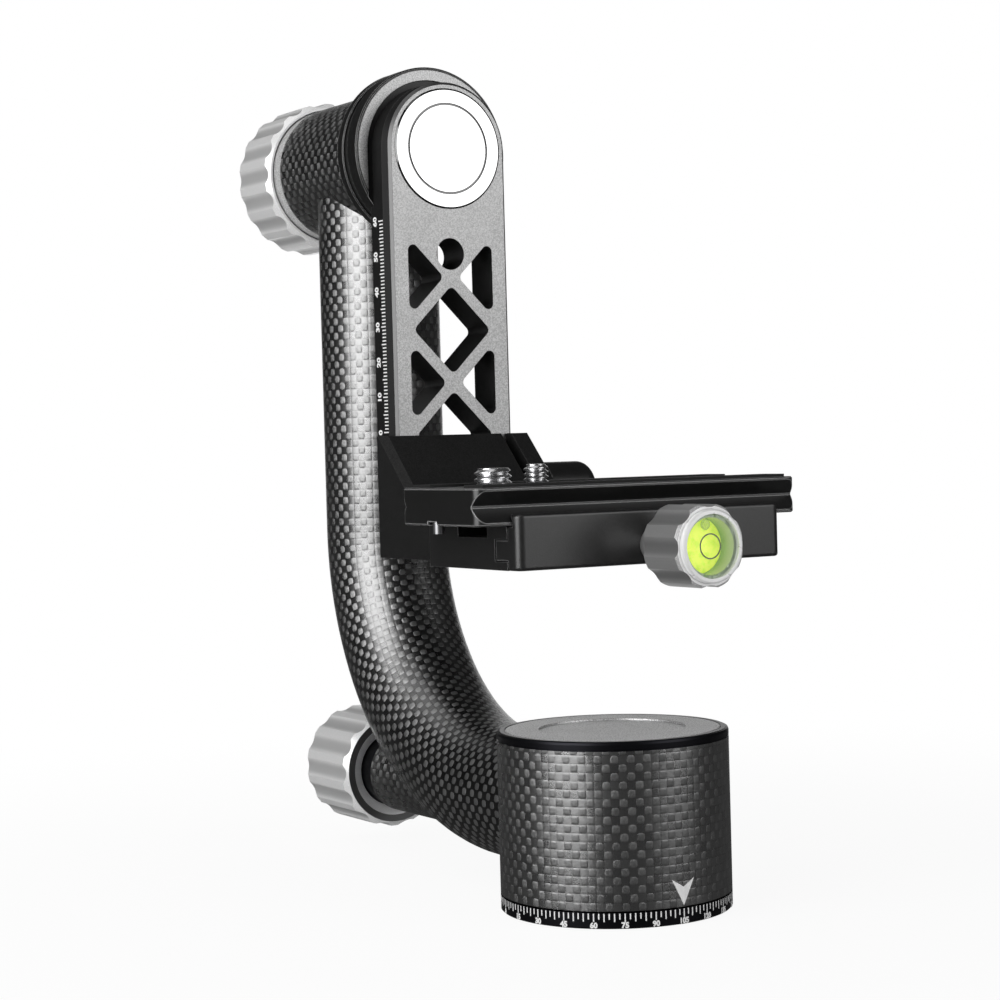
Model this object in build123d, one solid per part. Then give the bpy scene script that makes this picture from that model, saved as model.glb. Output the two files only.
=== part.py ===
from build123d import *
import os
from math import copysign, sqrt

# Gimbal tripod head, millimetres, +Z up.
# The origin is on the pan axis at the underside of the base.  The tilt axis runs along Y at
# tilt_axis_height, the lens points along X, and the arm stands behind the base at +Y.

# ---- driving dimensions ---------------------------------------------------------------------
# Clearances
glue_gap = 0.05              # between parts that are bonded, pressed or screwed together
running_gap = 0.08           # shaft or screw in its hole, on each side
body_gap = 0.3               # between curved or sliding faces of different moving bodies
face_gap = 0.1               # between flat faces that turn on each other

# Base with the pan axis
base_radius = 30.0
dial_height = 4.0
shell_gap = 0.4
sleeve_height = 39.5
sleeve_wall = 1.6
cap_height = 2.4
cap_gap_height = 0.45        # shadow line between the sleeve and the rim
cap_gap_depth = 0.4
cap_rim_round = 0.8
cap_disc_radius = 27.9
cap_disc_thickness = 0.9
cap_disc_edge = 0.25
cap_dish_radius = 19.1
cap_dish_depth = 0.45
cap_screw_circle = 22.5
cap_screw_radius = 1.5
cap_screw_head_radius = 2.8
cap_screw_head_height = 1.3
cap_screw_reach = 5.0
tripod_thread_radius = 4.0   # minor radius of a 3/8"-16 thread
tripod_thread_depth = 11.0
bushing_radius = 7.5
bushing_lip = 1.5
spindle_flange_radius = 21.0
spindle_flange_height = 2.0
drum_radius = 15.0
drum_top = 28.0
thrust_washer_height = 1.0
spindle_screw_circle = 17.5

# Ball bearing, 20 x 32 x 7
bearing_bore_radius = 10.0
bearing_outer_radius = 16.0
bearing_width = 7.0
race_thickness = 2.1
ball_radius = 1.5
ball_count = 8
nut_radius = 12.5
nut_height = 3.6
nut_thread_radius = 8.0
nut_slot_radius = 1.6
circlip_height = 1.2

# Carbon arm
arm_radius = 17.9
arm_wall = 1.8
arm_axis_y = 119.8
arm_axis_z = 24.0
bend_radius = 72.0
arm_plug_length = 24.0
arm_screw_radius = 2.5
arm_screw_head_radius = 4.2
arm_screw_head_height = 3.0
arm_screw_reach = 14.0
arm_screw_spread = 10.0

# Pan lock, on an axis along Y behind the bend
lock_axis_z = 22.9
stub_radius = 11.7
stub_wall = 1.5
stub_end_y = 112.5
neck_radius = 10.6
pan_knob_front = 118.4
pan_knob_length = 25.4
pan_knob_radius = 17.35
pan_knob_flutes = 14
pan_knob_rim_inner = 13.8
knob_rim_step = 1.3
lock_rod_radius = 3.0
rod_head_radius = 6.0
rod_head_height = 5.0
socket_radius = 2.9
pad_radius = 4.4
pad_length = 4.6
lock_travel = 1.5            # a lock knob, its rod and its pad move back this far

# Tilt hub at the top of the arm
tilt_axis_height = 205.0
hub_radius = 20.5
hub_wall = 1.8
hub_front = 97.5
hub_back = 143.5
flange_radius = 24.5
flange_thickness = 3.1
flange_screw_radius = 1.25
flange_screw_head_radius = 2.3
flange_screw_sink = 1.6
flange_screw_reach = 6.0
friction_ring_radius = 23.6
rotor_front = 86.1
rotor_thickness = 5.7
rotor_radius = 24.6
rotor_face_radius = 23.7
rotor_face_thickness = 0.6
rail_relief = 1.8            # dark margin round the rail in the rotor's face plate
end_ring_radius = 20.2
end_ring_spigot = 2.5
tilt_knob_front = 148.4
tilt_knob_length = 20.2
tilt_knob_radius = 22.8
tilt_knob_flutes = 18
tilt_knob_rim_inner = 20.65

# Flutes of the grip knobs
flute_width = 5.9
flute_depth = 0.9
knob_edge = 0.6              # bevel at both ends of a grip knob
knob_front_bevel = 1.5       # wide bright bevel that faces the arm

# Swing rail with its truss
rail_front = 76.7
rail_thickness = 11.6
rail_half_width = 19.0
rail_length = 115.0          # from the tilt axis down to the end
rail_bevel = 0.8
groove_start = 1.0           # dovetail groove, measured back from the rail's front face
groove_width = 3.6
groove_depth = 1.8
window_half_width = 13.8
strut_width = 3.4
truss_pitch = 30.1
first_crossing = 36.6
window_fillet = 1.66
rail_hole_radius = 4.5
rail_hole_drop = 30.0
cap_radius = 17.1
cap_thickness = 2.2
cap_ring_radius = 12.7
rotor_screw_circle = 11.5

# Sliding platform on the rail
platform_top = 81.6          # below the tilt axis
platform_height = 34.0
bracket_left = 25.6
bracket_right = 22.0
bracket_lip = 3.2            # thickness in front of the rail at the top edge
bracket_edge = 1.8
rail_jaw_width = 5.3
rail_jaw_slot = 3.5
rail_jaw_depth = 22.0
hook_outer = 22.4
foot_height = 10.6
tongue_height = 4.6
height_knob_radius = 8.0
height_knob_length = 16.0
height_screw_radius = 3.0
height_axis_y = 67.4
height_axis_depth = 16.6     # below the platform's top
height_screw_reach = 18.0

# Quick-release clamp
clamp_length = 80.0
clamp_centre_y = 0.65
clamp_half_depth = 21.75
clamp_jaw_top = 3.0          # jaws above the seat of the plate
clamp_floor_thickness = 10.8
jaw_split = 15.8
jaw_corner = 2.2
jaw_edge = 0.8
tongue_depth = 5.8
tongue_thickness = 4.9
channel_half_width = 7.1
channel_depth = 2.9
clamp_axis_lift = 4.9        # clamp screw above the underside
clamp_screw_radius = 3.0
clamp_screw_reach = 12.0
clamp_knob_radius = 10.4
clamp_knob_back = 30.4
clamp_knob_front = 44.7
clamp_knob_flutes = 8
clamp_neck_radius = 4.4
level_radius = 7.8
level_depth = 6.2            # below the knob's front face
level_wall = 0.8
level_floor = 1.2
lens_thickness = 0.9
bezel_radius = 9.05
bezel_sink = 1.2
bezel_stand = 1.3

# Release plate
plate_length = 97.5
plate_shift = -1.0
plate_half_width = 19.05
plate_thickness = 9.4
plate_groove_depth = 2.7
plate_land = 0.8
plate_waist = 0.5
plate_corner = 2.8
plate_edge = 0.35
pad_strip_width = 9.0
pad_strip_length = 92.0
pad_strip_height = 1.2
pad_strip_sink = 0.5
stop_pin_radius = 1.45
stop_pin_drop = 2.1
stop_pin_inset = 1.9
stop_pin_offset = 3.0        # from the plate's middle, towards the rail
stop_pin_relief = 1.0        # height of the notch round a pin, open at the plate's end
stop_pin_sink = 3.4
plate_travel = 28.0          # each way, where the stop pins end it
big_screw_radius = 4.76
big_screw_inset = 16.15      # from the plate's left end
big_screw_stand = 4.5
small_screw_radius = 3.175
screw_spacing = 12.8
small_screw_stand = 5.2
big_slot_travel = 4.0
small_slot_inset = 18.55     # from the plate's right end
screw_head_height = 3.2
screw_washer_height = 0.5
screw_neck_relief = 0.7      # the captive screws are thinner below the thread
screw_thread_rise = 0.1      # thread starts this far above the plate's top
head_slot_half_width = 7.2
head_slot_depth = 4.3

# ---- places worked out from the dimensions ---------------------------------------------------
sleeve_bottom = dial_height + shell_gap
sleeve_top = sleeve_bottom + sleeve_height
cap_top = sleeve_top + cap_height
core_radius = base_radius - sleeve_wall - glue_gap
washer_top = dial_height + spindle_flange_height + thrust_washer_height
bearing_top = drum_top + bearing_width
arm_bore = arm_radius - arm_wall
arm_plug_radius = arm_bore - glue_gap
bend_centre_y = arm_axis_y - bend_radius
bend_centre_z = arm_axis_z + bend_radius
hub_core_radius = hub_radius - hub_wall - glue_gap
hub_core_bore = bearing_outer_radius - 1.5
rotor_back = rotor_front + rotor_thickness
flange_front = hub_front - flange_thickness
rear_bearing_back = hub_back - 7.5
rail_back = rail_front + rail_thickness
rail_seat = rotor_front + rotor_face_thickness
platform_z = tilt_axis_height - platform_top
platform_bottom = platform_z - platform_height
bracket_back = rail_front - body_gap
bracket_front_top = bracket_back - bracket_lip
foot_top = platform_bottom + foot_height
clamp_back = clamp_centre_y + clamp_half_depth
clamp_front = clamp_centre_y - clamp_half_depth
clamp_seat = platform_bottom + clamp_floor_thickness
clamp_axis_z = platform_bottom + clamp_axis_lift
plate_bottom = clamp_seat + body_gap
plate_top = plate_bottom + plate_thickness
plate_back = clamp_centre_y + plate_half_width
plate_front = clamp_centre_y - plate_half_width
plate_left = plate_shift - plate_length / 2
plate_right = plate_shift + plate_length / 2
big_screw_x = plate_left + big_screw_inset
small_screw_x = big_screw_x + screw_spacing
small_slot_travel = plate_right - small_slot_inset - small_screw_x
channel_end = plate_length / 2 - abs(plate_shift) - stop_pin_inset - plate_travel - stop_pin_radius - body_gap
jaw_inner = -jaw_split - 0.5
jaw_hook_top = clamp_seat + clamp_jaw_top
slope_foot_y = bracket_front_top - (platform_z - foot_top)
jaw_pocket_y = bracket_back - rail_jaw_depth
rail_jaw_left = bracket_right - rail_jaw_width
jaw_pocket_x = rail_jaw_left - rail_jaw_slot
height_axis_z = platform_z - height_axis_depth

CENTRED = (Align.CENTER, Align.CENTER, Align.MIN)


# ---- plain building blocks --------------------------------------------------------------------
def cyl_z(radius, z0, z1, x=0.0, y=0.0):
    return Pos(x, y, z0) * Cylinder(radius, z1 - z0, align=CENTRED)


def cyl_y(radius, y0, y1, x=0.0, z=0.0):
    return Pos(x, y0, z) * Rot(-90, 0, 0) * Cylinder(radius, y1 - y0, align=CENTRED)


def cyl_x(radius, x0, x1, y=0.0, z=0.0):
    return Pos(x0, y, z) * Rot(0, 90, 0) * Cylinder(radius, x1 - x0, align=CENTRED)


def cone_z(r0, r1, z0, z1, x=0.0, y=0.0):
    return Pos(x, y, z0) * Cone(r0, r1, z1 - z0, align=CENTRED)


def cone_y(r0, r1, y0, y1, x=0.0, z=0.0):
    return Pos(x, y0, z) * Rot(-90, 0, 0) * Cone(r0, r1, y1 - y0, align=CENTRED)


def block(x0, x1, y0, y1, z0, z1):
    return Pos(x0, y0, z0) * Box(x1 - x0, y1 - y0, z1 - z0, align=(Align.MIN,) * 3)


def turned_z(*points):
    """A solid of revolution about Z from (radius, z) points."""
    outline = make_face(Plane.XZ * Polyline(*points, close=True))
    return revolve(outline, Axis.Z)


def turned_y(axis_z, *points):
    """A solid of revolution about the line along Y at axis_z, from (radius, y) points."""
    outline = make_face(Polyline(*[(r, y, axis_z) for r, y in points], close=True))
    return revolve(outline, Axis((0, 0, axis_z), (0, 1, 0)))


def prism_x(x0, x1, *points):
    """An outline of (y, z) points, extruded from x0 to x1."""
    outline = make_face(Polyline(*[(x0, y, z) for y, z in points], close=True))
    return extrude(outline, amount=x1 - x0, dir=(1, 0, 0))


def prism_z(z0, z1, *points):
    """An outline of (x, y) points, extruded from z0 to z1."""
    outline = make_face(Polyline(*[(x, y, z0) for x, y in points], close=True))
    return extrude(outline, amount=z1 - z0, dir=(0, 0, 1))


def flute_radius():
    """Radius of the cutter that leaves a flute of the chosen width and depth."""
    return ((flute_width / 2) ** 2 + flute_depth ** 2) / (2 * flute_depth)


def fluted_blank(radius, flutes, length, first_bevel):
    """A fluted grip about Z from z = 0, bevelled at both ends."""
    edge = min(knob_edge, length / 6)
    first = min(first_bevel, length / 6)
    cutter = flute_radius()
    outline = Circle(radius)
    outline -= PolarLocations(radius + cutter - flute_depth, flutes) * Circle(cutter)
    envelope = turned_z(
        (0, 0), (radius - first, 0), (radius + 0.01, first), (radius + 0.01, length - edge),
        (radius - edge, length), (0, length),
    )
    return extrude(outline, amount=length) & envelope


def socket_screw_z(x, y, head_top, head_radius, head_height, shank_radius, shank_end):
    """A cap screw that points down, head on top, with a round socket."""
    screw = cyl_z(head_radius, head_top - head_height, head_top, x, y)
    screw += cyl_z(shank_radius, shank_end, head_top - head_height, x, y)
    screw -= cyl_z(head_radius * 0.5, head_top - head_height * 0.6, head_top, x, y)
    return screw


# ---- base and pan spindle ----------------------------------------------------------------------
def make_base_plate():
    plate = turned_z(
        (0, 0), (base_radius - 0.4, 0), (base_radius, 0.4), (base_radius, dial_height), (0, dial_height),
    )
    plate -= turned_z(
        (spindle_flange_radius + 2, -1), (base_radius - 3, -1), (base_radius - 3, 0.5),
        (spindle_flange_radius + 2, 0.5),
    )
    plate -= cyl_z(bushing_radius, -1, dial_height + 1)
    plate -= cyl_z(bushing_radius + bushing_lip, dial_height - 1.5, dial_height + 1)
    for place in PolarLocations(spindle_screw_circle, 3):
        x, y = place.position.X, place.position.Y
        plate -= cyl_z(2.1, -1, dial_height + 1, x, y)
        plate -= cone_z(4.2, 2.1, -0.01, 2.1, x, y)
    return plate


def make_thread_bushing():
    bushing = cyl_z(bushing_radius - glue_gap, 0, tripod_thread_depth)
    bushing += cyl_z(bushing_radius + bushing_lip - glue_gap, dial_height - 1.5 + glue_gap, dial_height)
    return bushing - cyl_z(tripod_thread_radius, -1, tripod_thread_depth - 1)


def make_pan_spindle():
    flange_top = dial_height + spindle_flange_height
    spindle_top = bearing_top + nut_height + 1
    spindle = turned_z(
        (0, dial_height), (spindle_flange_radius, dial_height), (spindle_flange_radius, flange_top),
        (drum_radius, flange_top), (drum_radius, drum_top),
        (bearing_bore_radius - glue_gap, drum_top), (bearing_bore_radius - glue_gap, bearing_top),
        (nut_thread_radius, bearing_top), (nut_thread_radius, spindle_top), (0, spindle_top),
    )
    spindle -= cyl_z(bushing_radius, dial_height - 1, tripod_thread_depth + 0.5)
    for place in PolarLocations(spindle_screw_circle, 3):
        spindle -= cyl_z(1.7, dial_height - 1, flange_top, place.position.X, place.position.Y)
    return spindle


def make_spindle_screws():
    screws = []
    for place in PolarLocations(spindle_screw_circle, 3):
        x, y = place.position.X, place.position.Y
        screw = cone_z(4.0, 2.0, 0.1, 2.1, x, y)
        screw += cyl_z(2.0, 2.1, dial_height - glue_gap, x, y)
        screw += cyl_z(1.6, dial_height - glue_gap, dial_height + spindle_flange_height - 0.2, x, y)
        screws.append(screw - cyl_z(1.1, 0, 1.2, x, y))
    return screws


def make_thrust_washer():
    low = dial_height + spindle_flange_height
    washer = cyl_z(spindle_flange_radius - 0.5, low, washer_top)
    return washer - cyl_z(drum_radius + running_gap, low - 1, washer_top + 1)


def ring_z(inner, outer, z0, z1):
    return cyl_z(outer, z0, z1) - cyl_z(inner, z0 - 1, z1 + 1)


def ring_y(inner, outer, y0, y1, z=0.0):
    return cyl_y(outer, y0, y1, z=z) - cyl_y(inner, y0 - 1, y1 + 1, z=z)


def inner_race():
    """Inner race about Z from z = 0, with its ball groove."""
    outer = bearing_bore_radius + race_thickness
    race = ring_z(bearing_bore_radius, outer, 0, bearing_width)
    return race - Pos(0, 0, bearing_width / 2) * Torus(ball_circle(), ball_radius + body_gap)


def outer_race():
    """Outer race about Z from z = 0, with its ball groove."""
    inner = bearing_outer_radius - race_thickness
    race = ring_z(inner, bearing_outer_radius - glue_gap, 0, bearing_width)
    return race - Pos(0, 0, bearing_width / 2) * Torus(ball_circle(), ball_radius + glue_gap)


def ball_circle():
    return (bearing_bore_radius + bearing_outer_radius) / 2


def race_balls():
    balls = []
    for place in PolarLocations(ball_circle(), ball_count):
        balls.append(Pos(place.position.X, place.position.Y, bearing_width / 2) * Sphere(ball_radius))
    return balls


def bearing_places():
    """Places of the three bearings: one under the base cap and two in the hub."""
    return [
        Pos(0, 0, drum_top),
        Pos(0, hub_front, tilt_axis_height) * Rot(-90, 0, 0),
        Pos(0, rear_bearing_back - bearing_width, tilt_axis_height) * Rot(-90, 0, 0),
    ]


def make_pan_nut():
    nut = cyl_z(nut_radius, bearing_top, bearing_top + nut_height)
    nut -= cyl_z(nut_thread_radius + glue_gap, bearing_top - 1, bearing_top + nut_height + 1)
    for place in PolarLocations(nut_radius, 4):
        x, y = place.position.X, place.position.Y
        nut -= cyl_z(nut_slot_radius, bearing_top - 1, bearing_top + nut_height + 1, x, y)
    return nut


# ---- turning housing ---------------------------------------------------------------------------
def arm_path():
    """Centreline of the arm: down from the hub, round the bend and forward to the base."""
    down = Line((0, arm_axis_y, tilt_axis_height), (0, arm_axis_y, bend_centre_z))
    corner = (0, bend_centre_y + bend_radius * sqrt(0.5), bend_centre_z - bend_radius * sqrt(0.5))
    bend = ThreePointArc((0, arm_axis_y, bend_centre_z), corner, (0, bend_centre_y, arm_axis_z))
    forward = Line((0, bend_centre_y, arm_axis_z), (0, 0, arm_axis_z))
    return Wire([down, bend, forward])


def arm_solid(radius):
    section = Plane((0, arm_axis_y, tilt_axis_height), x_dir=(1, 0, 0), z_dir=(0, 0, -1)) * Circle(radius)
    return sweep(section, path=arm_path())


def make_base_sleeve():
    sleeve = ring_z(base_radius - sleeve_wall, base_radius, sleeve_bottom, sleeve_top)
    return sleeve - cyl_y(arm_radius + glue_gap, 5, base_radius + 5, z=arm_axis_z)


def arm_base_screw_places():
    return [(-arm_screw_spread, arm_axis_z - 4), (arm_screw_spread, arm_axis_z - 4)]


def screw_seat_y():
    """Y of the step under the heads of the screws that hold the arm to the housing core."""
    return drum_radius + 3


def make_housing_core():
    core = cyl_z(core_radius, sleeve_bottom, sleeve_top)
    core -= cyl_z(spindle_flange_radius + 0.5, sleeve_bottom - 1, washer_top + face_gap)
    core -= cyl_z(drum_radius + 0.5, washer_top, drum_top)
    core -= cyl_z(bearing_outer_radius, drum_top, sleeve_top + 1)
    core -= cyl_z(bearing_outer_radius + 0.7, bearing_top, bearing_top + circlip_height + glue_gap)
    core -= cyl_y(pad_radius + running_gap, drum_radius - 3, core_radius + 1, z=lock_axis_z)
    for x, z in arm_base_screw_places():
        core -= cyl_y(arm_screw_head_radius + 0.2, 5, screw_seat_y(), x, z)
        core -= cyl_y(arm_screw_radius + glue_gap, 5, core_radius + 5, x, z)
    for x, y in cap_screw_places():
        core -= cyl_z(1.5 + glue_gap, sleeve_top - 6, sleeve_top + 1, x, y)
    return core


def make_circlip():
    low = bearing_top + glue_gap
    clip = ring_z(bearing_outer_radius - 1.8, bearing_outer_radius + 0.6, low, bearing_top + circlip_height)
    clip -= block(-3, 3, -bearing_outer_radius - 2, 0, low - 1, low + 3)
    return clip


def cap_screw_places():
    places = PolarLocations(cap_screw_circle, 3, start_angle=30)
    return [(p.position.X, p.position.Y) for p in places]


def cap_recess_floor():
    return cap_top - cap_disc_thickness


def make_top_cap():
    cap = turned_z(
        (0, sleeve_top), (base_radius - cap_gap_depth, sleeve_top),
        (base_radius - cap_gap_depth, sleeve_top + cap_gap_height), (base_radius, sleeve_top + cap_gap_height),
        (base_radius, cap_top - cap_rim_round), (base_radius - cap_rim_round * 0.3, cap_top - cap_rim_round * 0.3),
        (base_radius - cap_rim_round, cap_top), (0, cap_top),
    )
    cap += ring_z(bearing_outer_radius - 3, bearing_outer_radius - glue_gap, sleeve_top - 2, sleeve_top + 0.5)
    cap -= cyl_z(cap_disc_radius + glue_gap, cap_recess_floor(), cap_top + 1)
    cap -= cone_z(cap_disc_radius + glue_gap, cap_disc_radius + glue_gap + cap_disc_edge * 2,
                  cap_top - cap_disc_edge, cap_top + cap_disc_edge)
    for x, y in cap_screw_places():
        cap -= cyl_z(cap_screw_radius + glue_gap, sleeve_top - 1, cap_top, x, y)
        cap -= cone_z(cap_screw_radius + glue_gap, cap_screw_head_radius + glue_gap + 0.1,
                      cap_recess_floor() - cap_screw_head_height - 0.1, cap_recess_floor() + 0.01, x, y)
    return cap


def make_top_disc():
    disc = turned_z(
        (0, cap_recess_floor()), (cap_disc_radius, cap_recess_floor()), (cap_disc_radius, cap_top - cap_disc_edge),
        (cap_disc_radius - cap_disc_edge, cap_top), (0, cap_top),
    )
    return disc - cyl_z(cap_dish_radius, cap_top - cap_dish_depth, cap_top + 1)


def make_cap_screws():
    screws = []
    for x, y in cap_screw_places():
        head_top = cap_recess_floor() - 0.1
        neck = head_top - cap_screw_head_height
        screw = cone_z(cap_screw_radius, cap_screw_head_radius, neck, head_top, x, y)
        screw += cyl_z(cap_screw_radius, sleeve_top - cap_screw_reach, neck, x, y)
        screws.append(screw - cyl_z(cap_screw_radius * 0.67, head_top - 0.8, head_top + 1, x, y))
    return screws


def lock_bore(solid):
    """Cut the way of the pan lock rod."""
    return solid - cyl_y(lock_rod_radius + running_gap, 0, pan_knob_front + 5, z=lock_axis_z)


def make_arm_tube():
    tube = arm_solid(arm_radius) - arm_solid(arm_bore)
    tube -= cyl_y(hub_radius + glue_gap, hub_front - 5, hub_back + 5, z=tilt_axis_height)
    tube -= cyl_z(core_radius + glue_gap, 0, sleeve_top + 5)
    return tube - cyl_y(lock_rod_radius + 1.5, bend_centre_y, arm_axis_y, z=lock_axis_z)


def make_arm_base_plug():
    plug = cyl_y(arm_plug_radius, 5, core_radius + arm_plug_length - 4, z=arm_axis_z)
    plug -= cyl_z(core_radius + glue_gap, 0, sleeve_top + 5)
    for x, z in arm_base_screw_places():
        plug -= cyl_y(arm_screw_radius + glue_gap, 5, screw_seat_y() + arm_screw_reach + 9, x, z)
    return lock_bore(plug)


def make_arm_top_plug():
    top = tilt_axis_height - hub_core_radius
    plug = cyl_z(arm_plug_radius, top - arm_plug_length, tilt_axis_height, y=arm_axis_y)
    plug -= cyl_y(hub_core_radius + glue_gap, hub_front - 5, hub_back + 5, z=tilt_axis_height)
    for y in arm_top_screw_places():
        plug -= cyl_z(arm_screw_radius + glue_gap, top - arm_screw_reach - 2, tilt_axis_height, y=y)
    return plug


def arm_top_screw_places():
    return [arm_axis_y - 8, arm_axis_y + 4]


def top_screw_seat():
    return tilt_axis_height - hub_core_radius + 1.2


def make_arm_screws():
    """The four equal cap screws that hold the arm: two in the hub and two in the base."""
    screws = []
    for y in arm_top_screw_places():
        seat = top_screw_seat()
        screws.append(socket_screw_z(
            0, y, seat + arm_screw_head_height, arm_screw_head_radius, arm_screw_head_height,
            arm_screw_radius, seat - arm_screw_reach,
        ))
    for x, z in arm_base_screw_places():
        seat = screw_seat_y()
        screw = cyl_y(arm_screw_head_radius, seat - arm_screw_head_height, seat, x, z)
        screw += cyl_y(arm_screw_radius, seat, seat + arm_screw_reach + 6, x, z)
        screws.append(screw - cyl_y(arm_screw_head_radius / 2, 5, seat - 1.2, x, z))
    return screws


def make_stub_tube():
    tube = ring_y(stub_radius - stub_wall, stub_radius, bend_centre_y + 17, stub_end_y, z=lock_axis_z)
    return tube - arm_solid(arm_radius + glue_gap)


def make_stub_bush():
    inside = stub_radius - stub_wall - glue_gap
    bush = cyl_y(inside, bend_centre_y + 17, stub_end_y + 1, z=lock_axis_z)
    bush += cyl_y(neck_radius, stub_end_y, pan_knob_front + 2, z=lock_axis_z)
    return lock_bore(bush) - arm_solid(arm_radius + glue_gap)


def make_hub_tube():
    tube = ring_y(hub_radius - hub_wall, hub_radius, hub_front, hub_back, z=tilt_axis_height)
    return tube - cyl_z(arm_bore, tilt_axis_height - hub_radius - 5, tilt_axis_height - 4, y=arm_axis_y)


def make_hub_core():
    core = cyl_y(hub_core_radius, hub_front, hub_back, z=tilt_axis_height)
    core -= cyl_y(hub_core_bore, hub_front - 1, hub_back + 1, z=tilt_axis_height)
    core -= cyl_y(bearing_outer_radius, hub_front - 1, hub_front + bearing_width, z=tilt_axis_height)
    core -= cyl_y(bearing_outer_radius, rear_bearing_back - bearing_width, hub_back + 1, z=tilt_axis_height)
    for y in arm_top_screw_places():
        core -= cyl_z(arm_screw_head_radius + 0.2, top_screw_seat(), tilt_axis_height, y=y)
        core -= cyl_z(arm_screw_radius + glue_gap, tilt_axis_height - hub_radius, tilt_axis_height, y=y)
    for x, z in flange_screw_places():
        core -= cyl_y(flange_screw_radius + glue_gap, hub_front - 1, hub_front + flange_screw_reach + 1, x, z)
    return core


def flange_screw_places():
    ring = (hub_core_radius + bearing_outer_radius) / 2
    places = PolarLocations(ring, 4, start_angle=45)
    return [(p.position.X, tilt_axis_height + p.position.Y) for p in places]


def make_hub_flange():
    flange = turned_y(
        tilt_axis_height, (hub_core_bore, flange_front), (flange_radius - 0.3, flange_front),
        (flange_radius, flange_front + 0.3), (flange_radius, hub_front), (hub_core_bore, hub_front),
    )
    for x, z in flange_screw_places():
        flange -= cyl_y(flange_screw_radius + glue_gap, flange_front - 1, hub_front + 1, x, z)
        flange -= cyl_y(flange_screw_head_radius + 0.1, flange_front - 1, flange_front + flange_screw_sink, x, z)
    return flange


def make_flange_screws():
    screws = []
    for x, z in flange_screw_places():
        seat = flange_front + flange_screw_sink
        screw = cyl_y(flange_screw_head_radius, flange_front + 0.2, seat, x, z)
        screw += cyl_y(flange_screw_radius, seat, hub_front + flange_screw_reach, x, z)
        screws.append(screw - cyl_y(flange_screw_radius * 0.72, flange_front, flange_front + 1, x, z))
    return screws


def make_friction_ring():
    front = rotor_back + face_gap
    return ring_y(bearing_bore_radius + 4, friction_ring_radius, front, flange_front, z=tilt_axis_height)


def make_hub_end_ring():
    ring = turned_y(
        tilt_axis_height, (0, hub_back), (end_ring_radius, hub_back), (end_ring_radius, tilt_knob_front + 1),
        (end_ring_radius - 0.6, tilt_knob_front + 1.6), (0, tilt_knob_front + 1.6),
    )
    spigot = hub_back - end_ring_spigot
    recess = tilt_pad_back() + lock_travel + body_gap
    ring += cyl_y(bearing_outer_radius - glue_gap, spigot, hub_back + 1, z=tilt_axis_height)
    ring -= cyl_y(tilt_pad_radius() + running_gap, spigot - 1, recess, z=tilt_axis_height)
    return ring - cyl_y(lock_rod_radius + running_gap, hub_back, tilt_knob_front + 5, z=tilt_axis_height)


# ---- locks --------------------------------------------------------------------------------------
def grip_knob(front, length, radius, flutes, rim_inner, neck, axis_z):
    """A fluted knob about Y whose hollow rim faces -Y and runs round a neck."""
    knob = Pos(0, front, axis_z) * Rot(-90, 0, 0) * fluted_blank(radius, flutes, length, knob_front_bevel)
    knob -= cone_y(rim_inner, neck + body_gap + 0.1, front - 0.01, front + knob_rim_step, z=axis_z)
    knob -= cyl_y(neck + body_gap + 0.1, front, front + knob_rim_step + 2.5, z=axis_z)
    knob -= cyl_y(lock_rod_radius + glue_gap, front, front + length + 1, z=axis_z)
    back = front + length
    return knob - cyl_y(rod_head_radius + 0.3, back - rod_head_height, back + 1, z=axis_z)


def lock_rod(tip, front, length, axis_z):
    """The long cap screw through a grip knob: its head is sunk in the knob's back."""
    back = front + length
    rod = cyl_y(lock_rod_radius, tip, back - rod_head_height + 0.5, z=axis_z)
    rod += cyl_y(rod_head_radius, back - rod_head_height, back - 0.6, z=axis_z)
    socket = Pos(0, back - 3.4, axis_z) * Rot(-90, 0, 0) * extrude(RegularPolygon(socket_radius, 6), amount=5)
    return rod - socket


def make_pan_knob():
    return grip_knob(
        pan_knob_front, pan_knob_length, pan_knob_radius, pan_knob_flutes,
        pan_knob_rim_inner, neck_radius, lock_axis_z,
    )


def pan_pad_front():
    return drum_radius + body_gap


def make_pan_rod():
    return lock_rod(pan_pad_front() + pad_length + face_gap, pan_knob_front, pan_knob_length, lock_axis_z)


def make_pan_pad():
    return cyl_y(pad_radius, pan_pad_front(), pan_pad_front() + pad_length, z=lock_axis_z)


def make_tilt_knob():
    knob = Pos(0, tilt_knob_front, tilt_axis_height) * Rot(-90, 0, 0) * fluted_blank(
        tilt_knob_radius, tilt_knob_flutes, tilt_knob_length, knob_front_bevel)
    knob -= cyl_y(tilt_knob_rim_inner, tilt_knob_front - 1, tilt_knob_front + 4, z=tilt_axis_height)
    back = tilt_knob_front + tilt_knob_length
    knob -= cyl_y(lock_rod_radius + glue_gap, tilt_knob_front, back + 1, z=tilt_axis_height)
    return knob - cyl_y(rod_head_radius + 0.3, back - rod_head_height, back + 1, z=tilt_axis_height)


def tilt_pad_radius():
    return nut_thread_radius - 1


def shaft_end():
    return rear_bearing_back + nut_height + 0.4


def tilt_pad_front():
    return shaft_end() + face_gap


def tilt_pad_back():
    return hub_back + 0.6


def make_tilt_rod():
    tip = tilt_pad_back() + face_gap
    return lock_rod(tip, tilt_knob_front, tilt_knob_length, tilt_axis_height)


def make_tilt_pad():
    return cyl_y(tilt_pad_radius(), tilt_pad_front(), tilt_pad_back(), z=tilt_axis_height)


# ---- swing arm -----------------------------------------------------------------------------------
def make_tilt_shaft():
    bore = bearing_bore_radius - glue_gap
    return turned_y(
        tilt_axis_height, (0, rotor_back - 2), (bearing_bore_radius + 3, rotor_back - 2),
        (bearing_bore_radius + 3, hub_front - face_gap), (bore, hub_front - face_gap),
        (bore, rear_bearing_back), (nut_thread_radius, rear_bearing_back),
        (nut_thread_radius, shaft_end()), (0, shaft_end()),
    )


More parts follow.
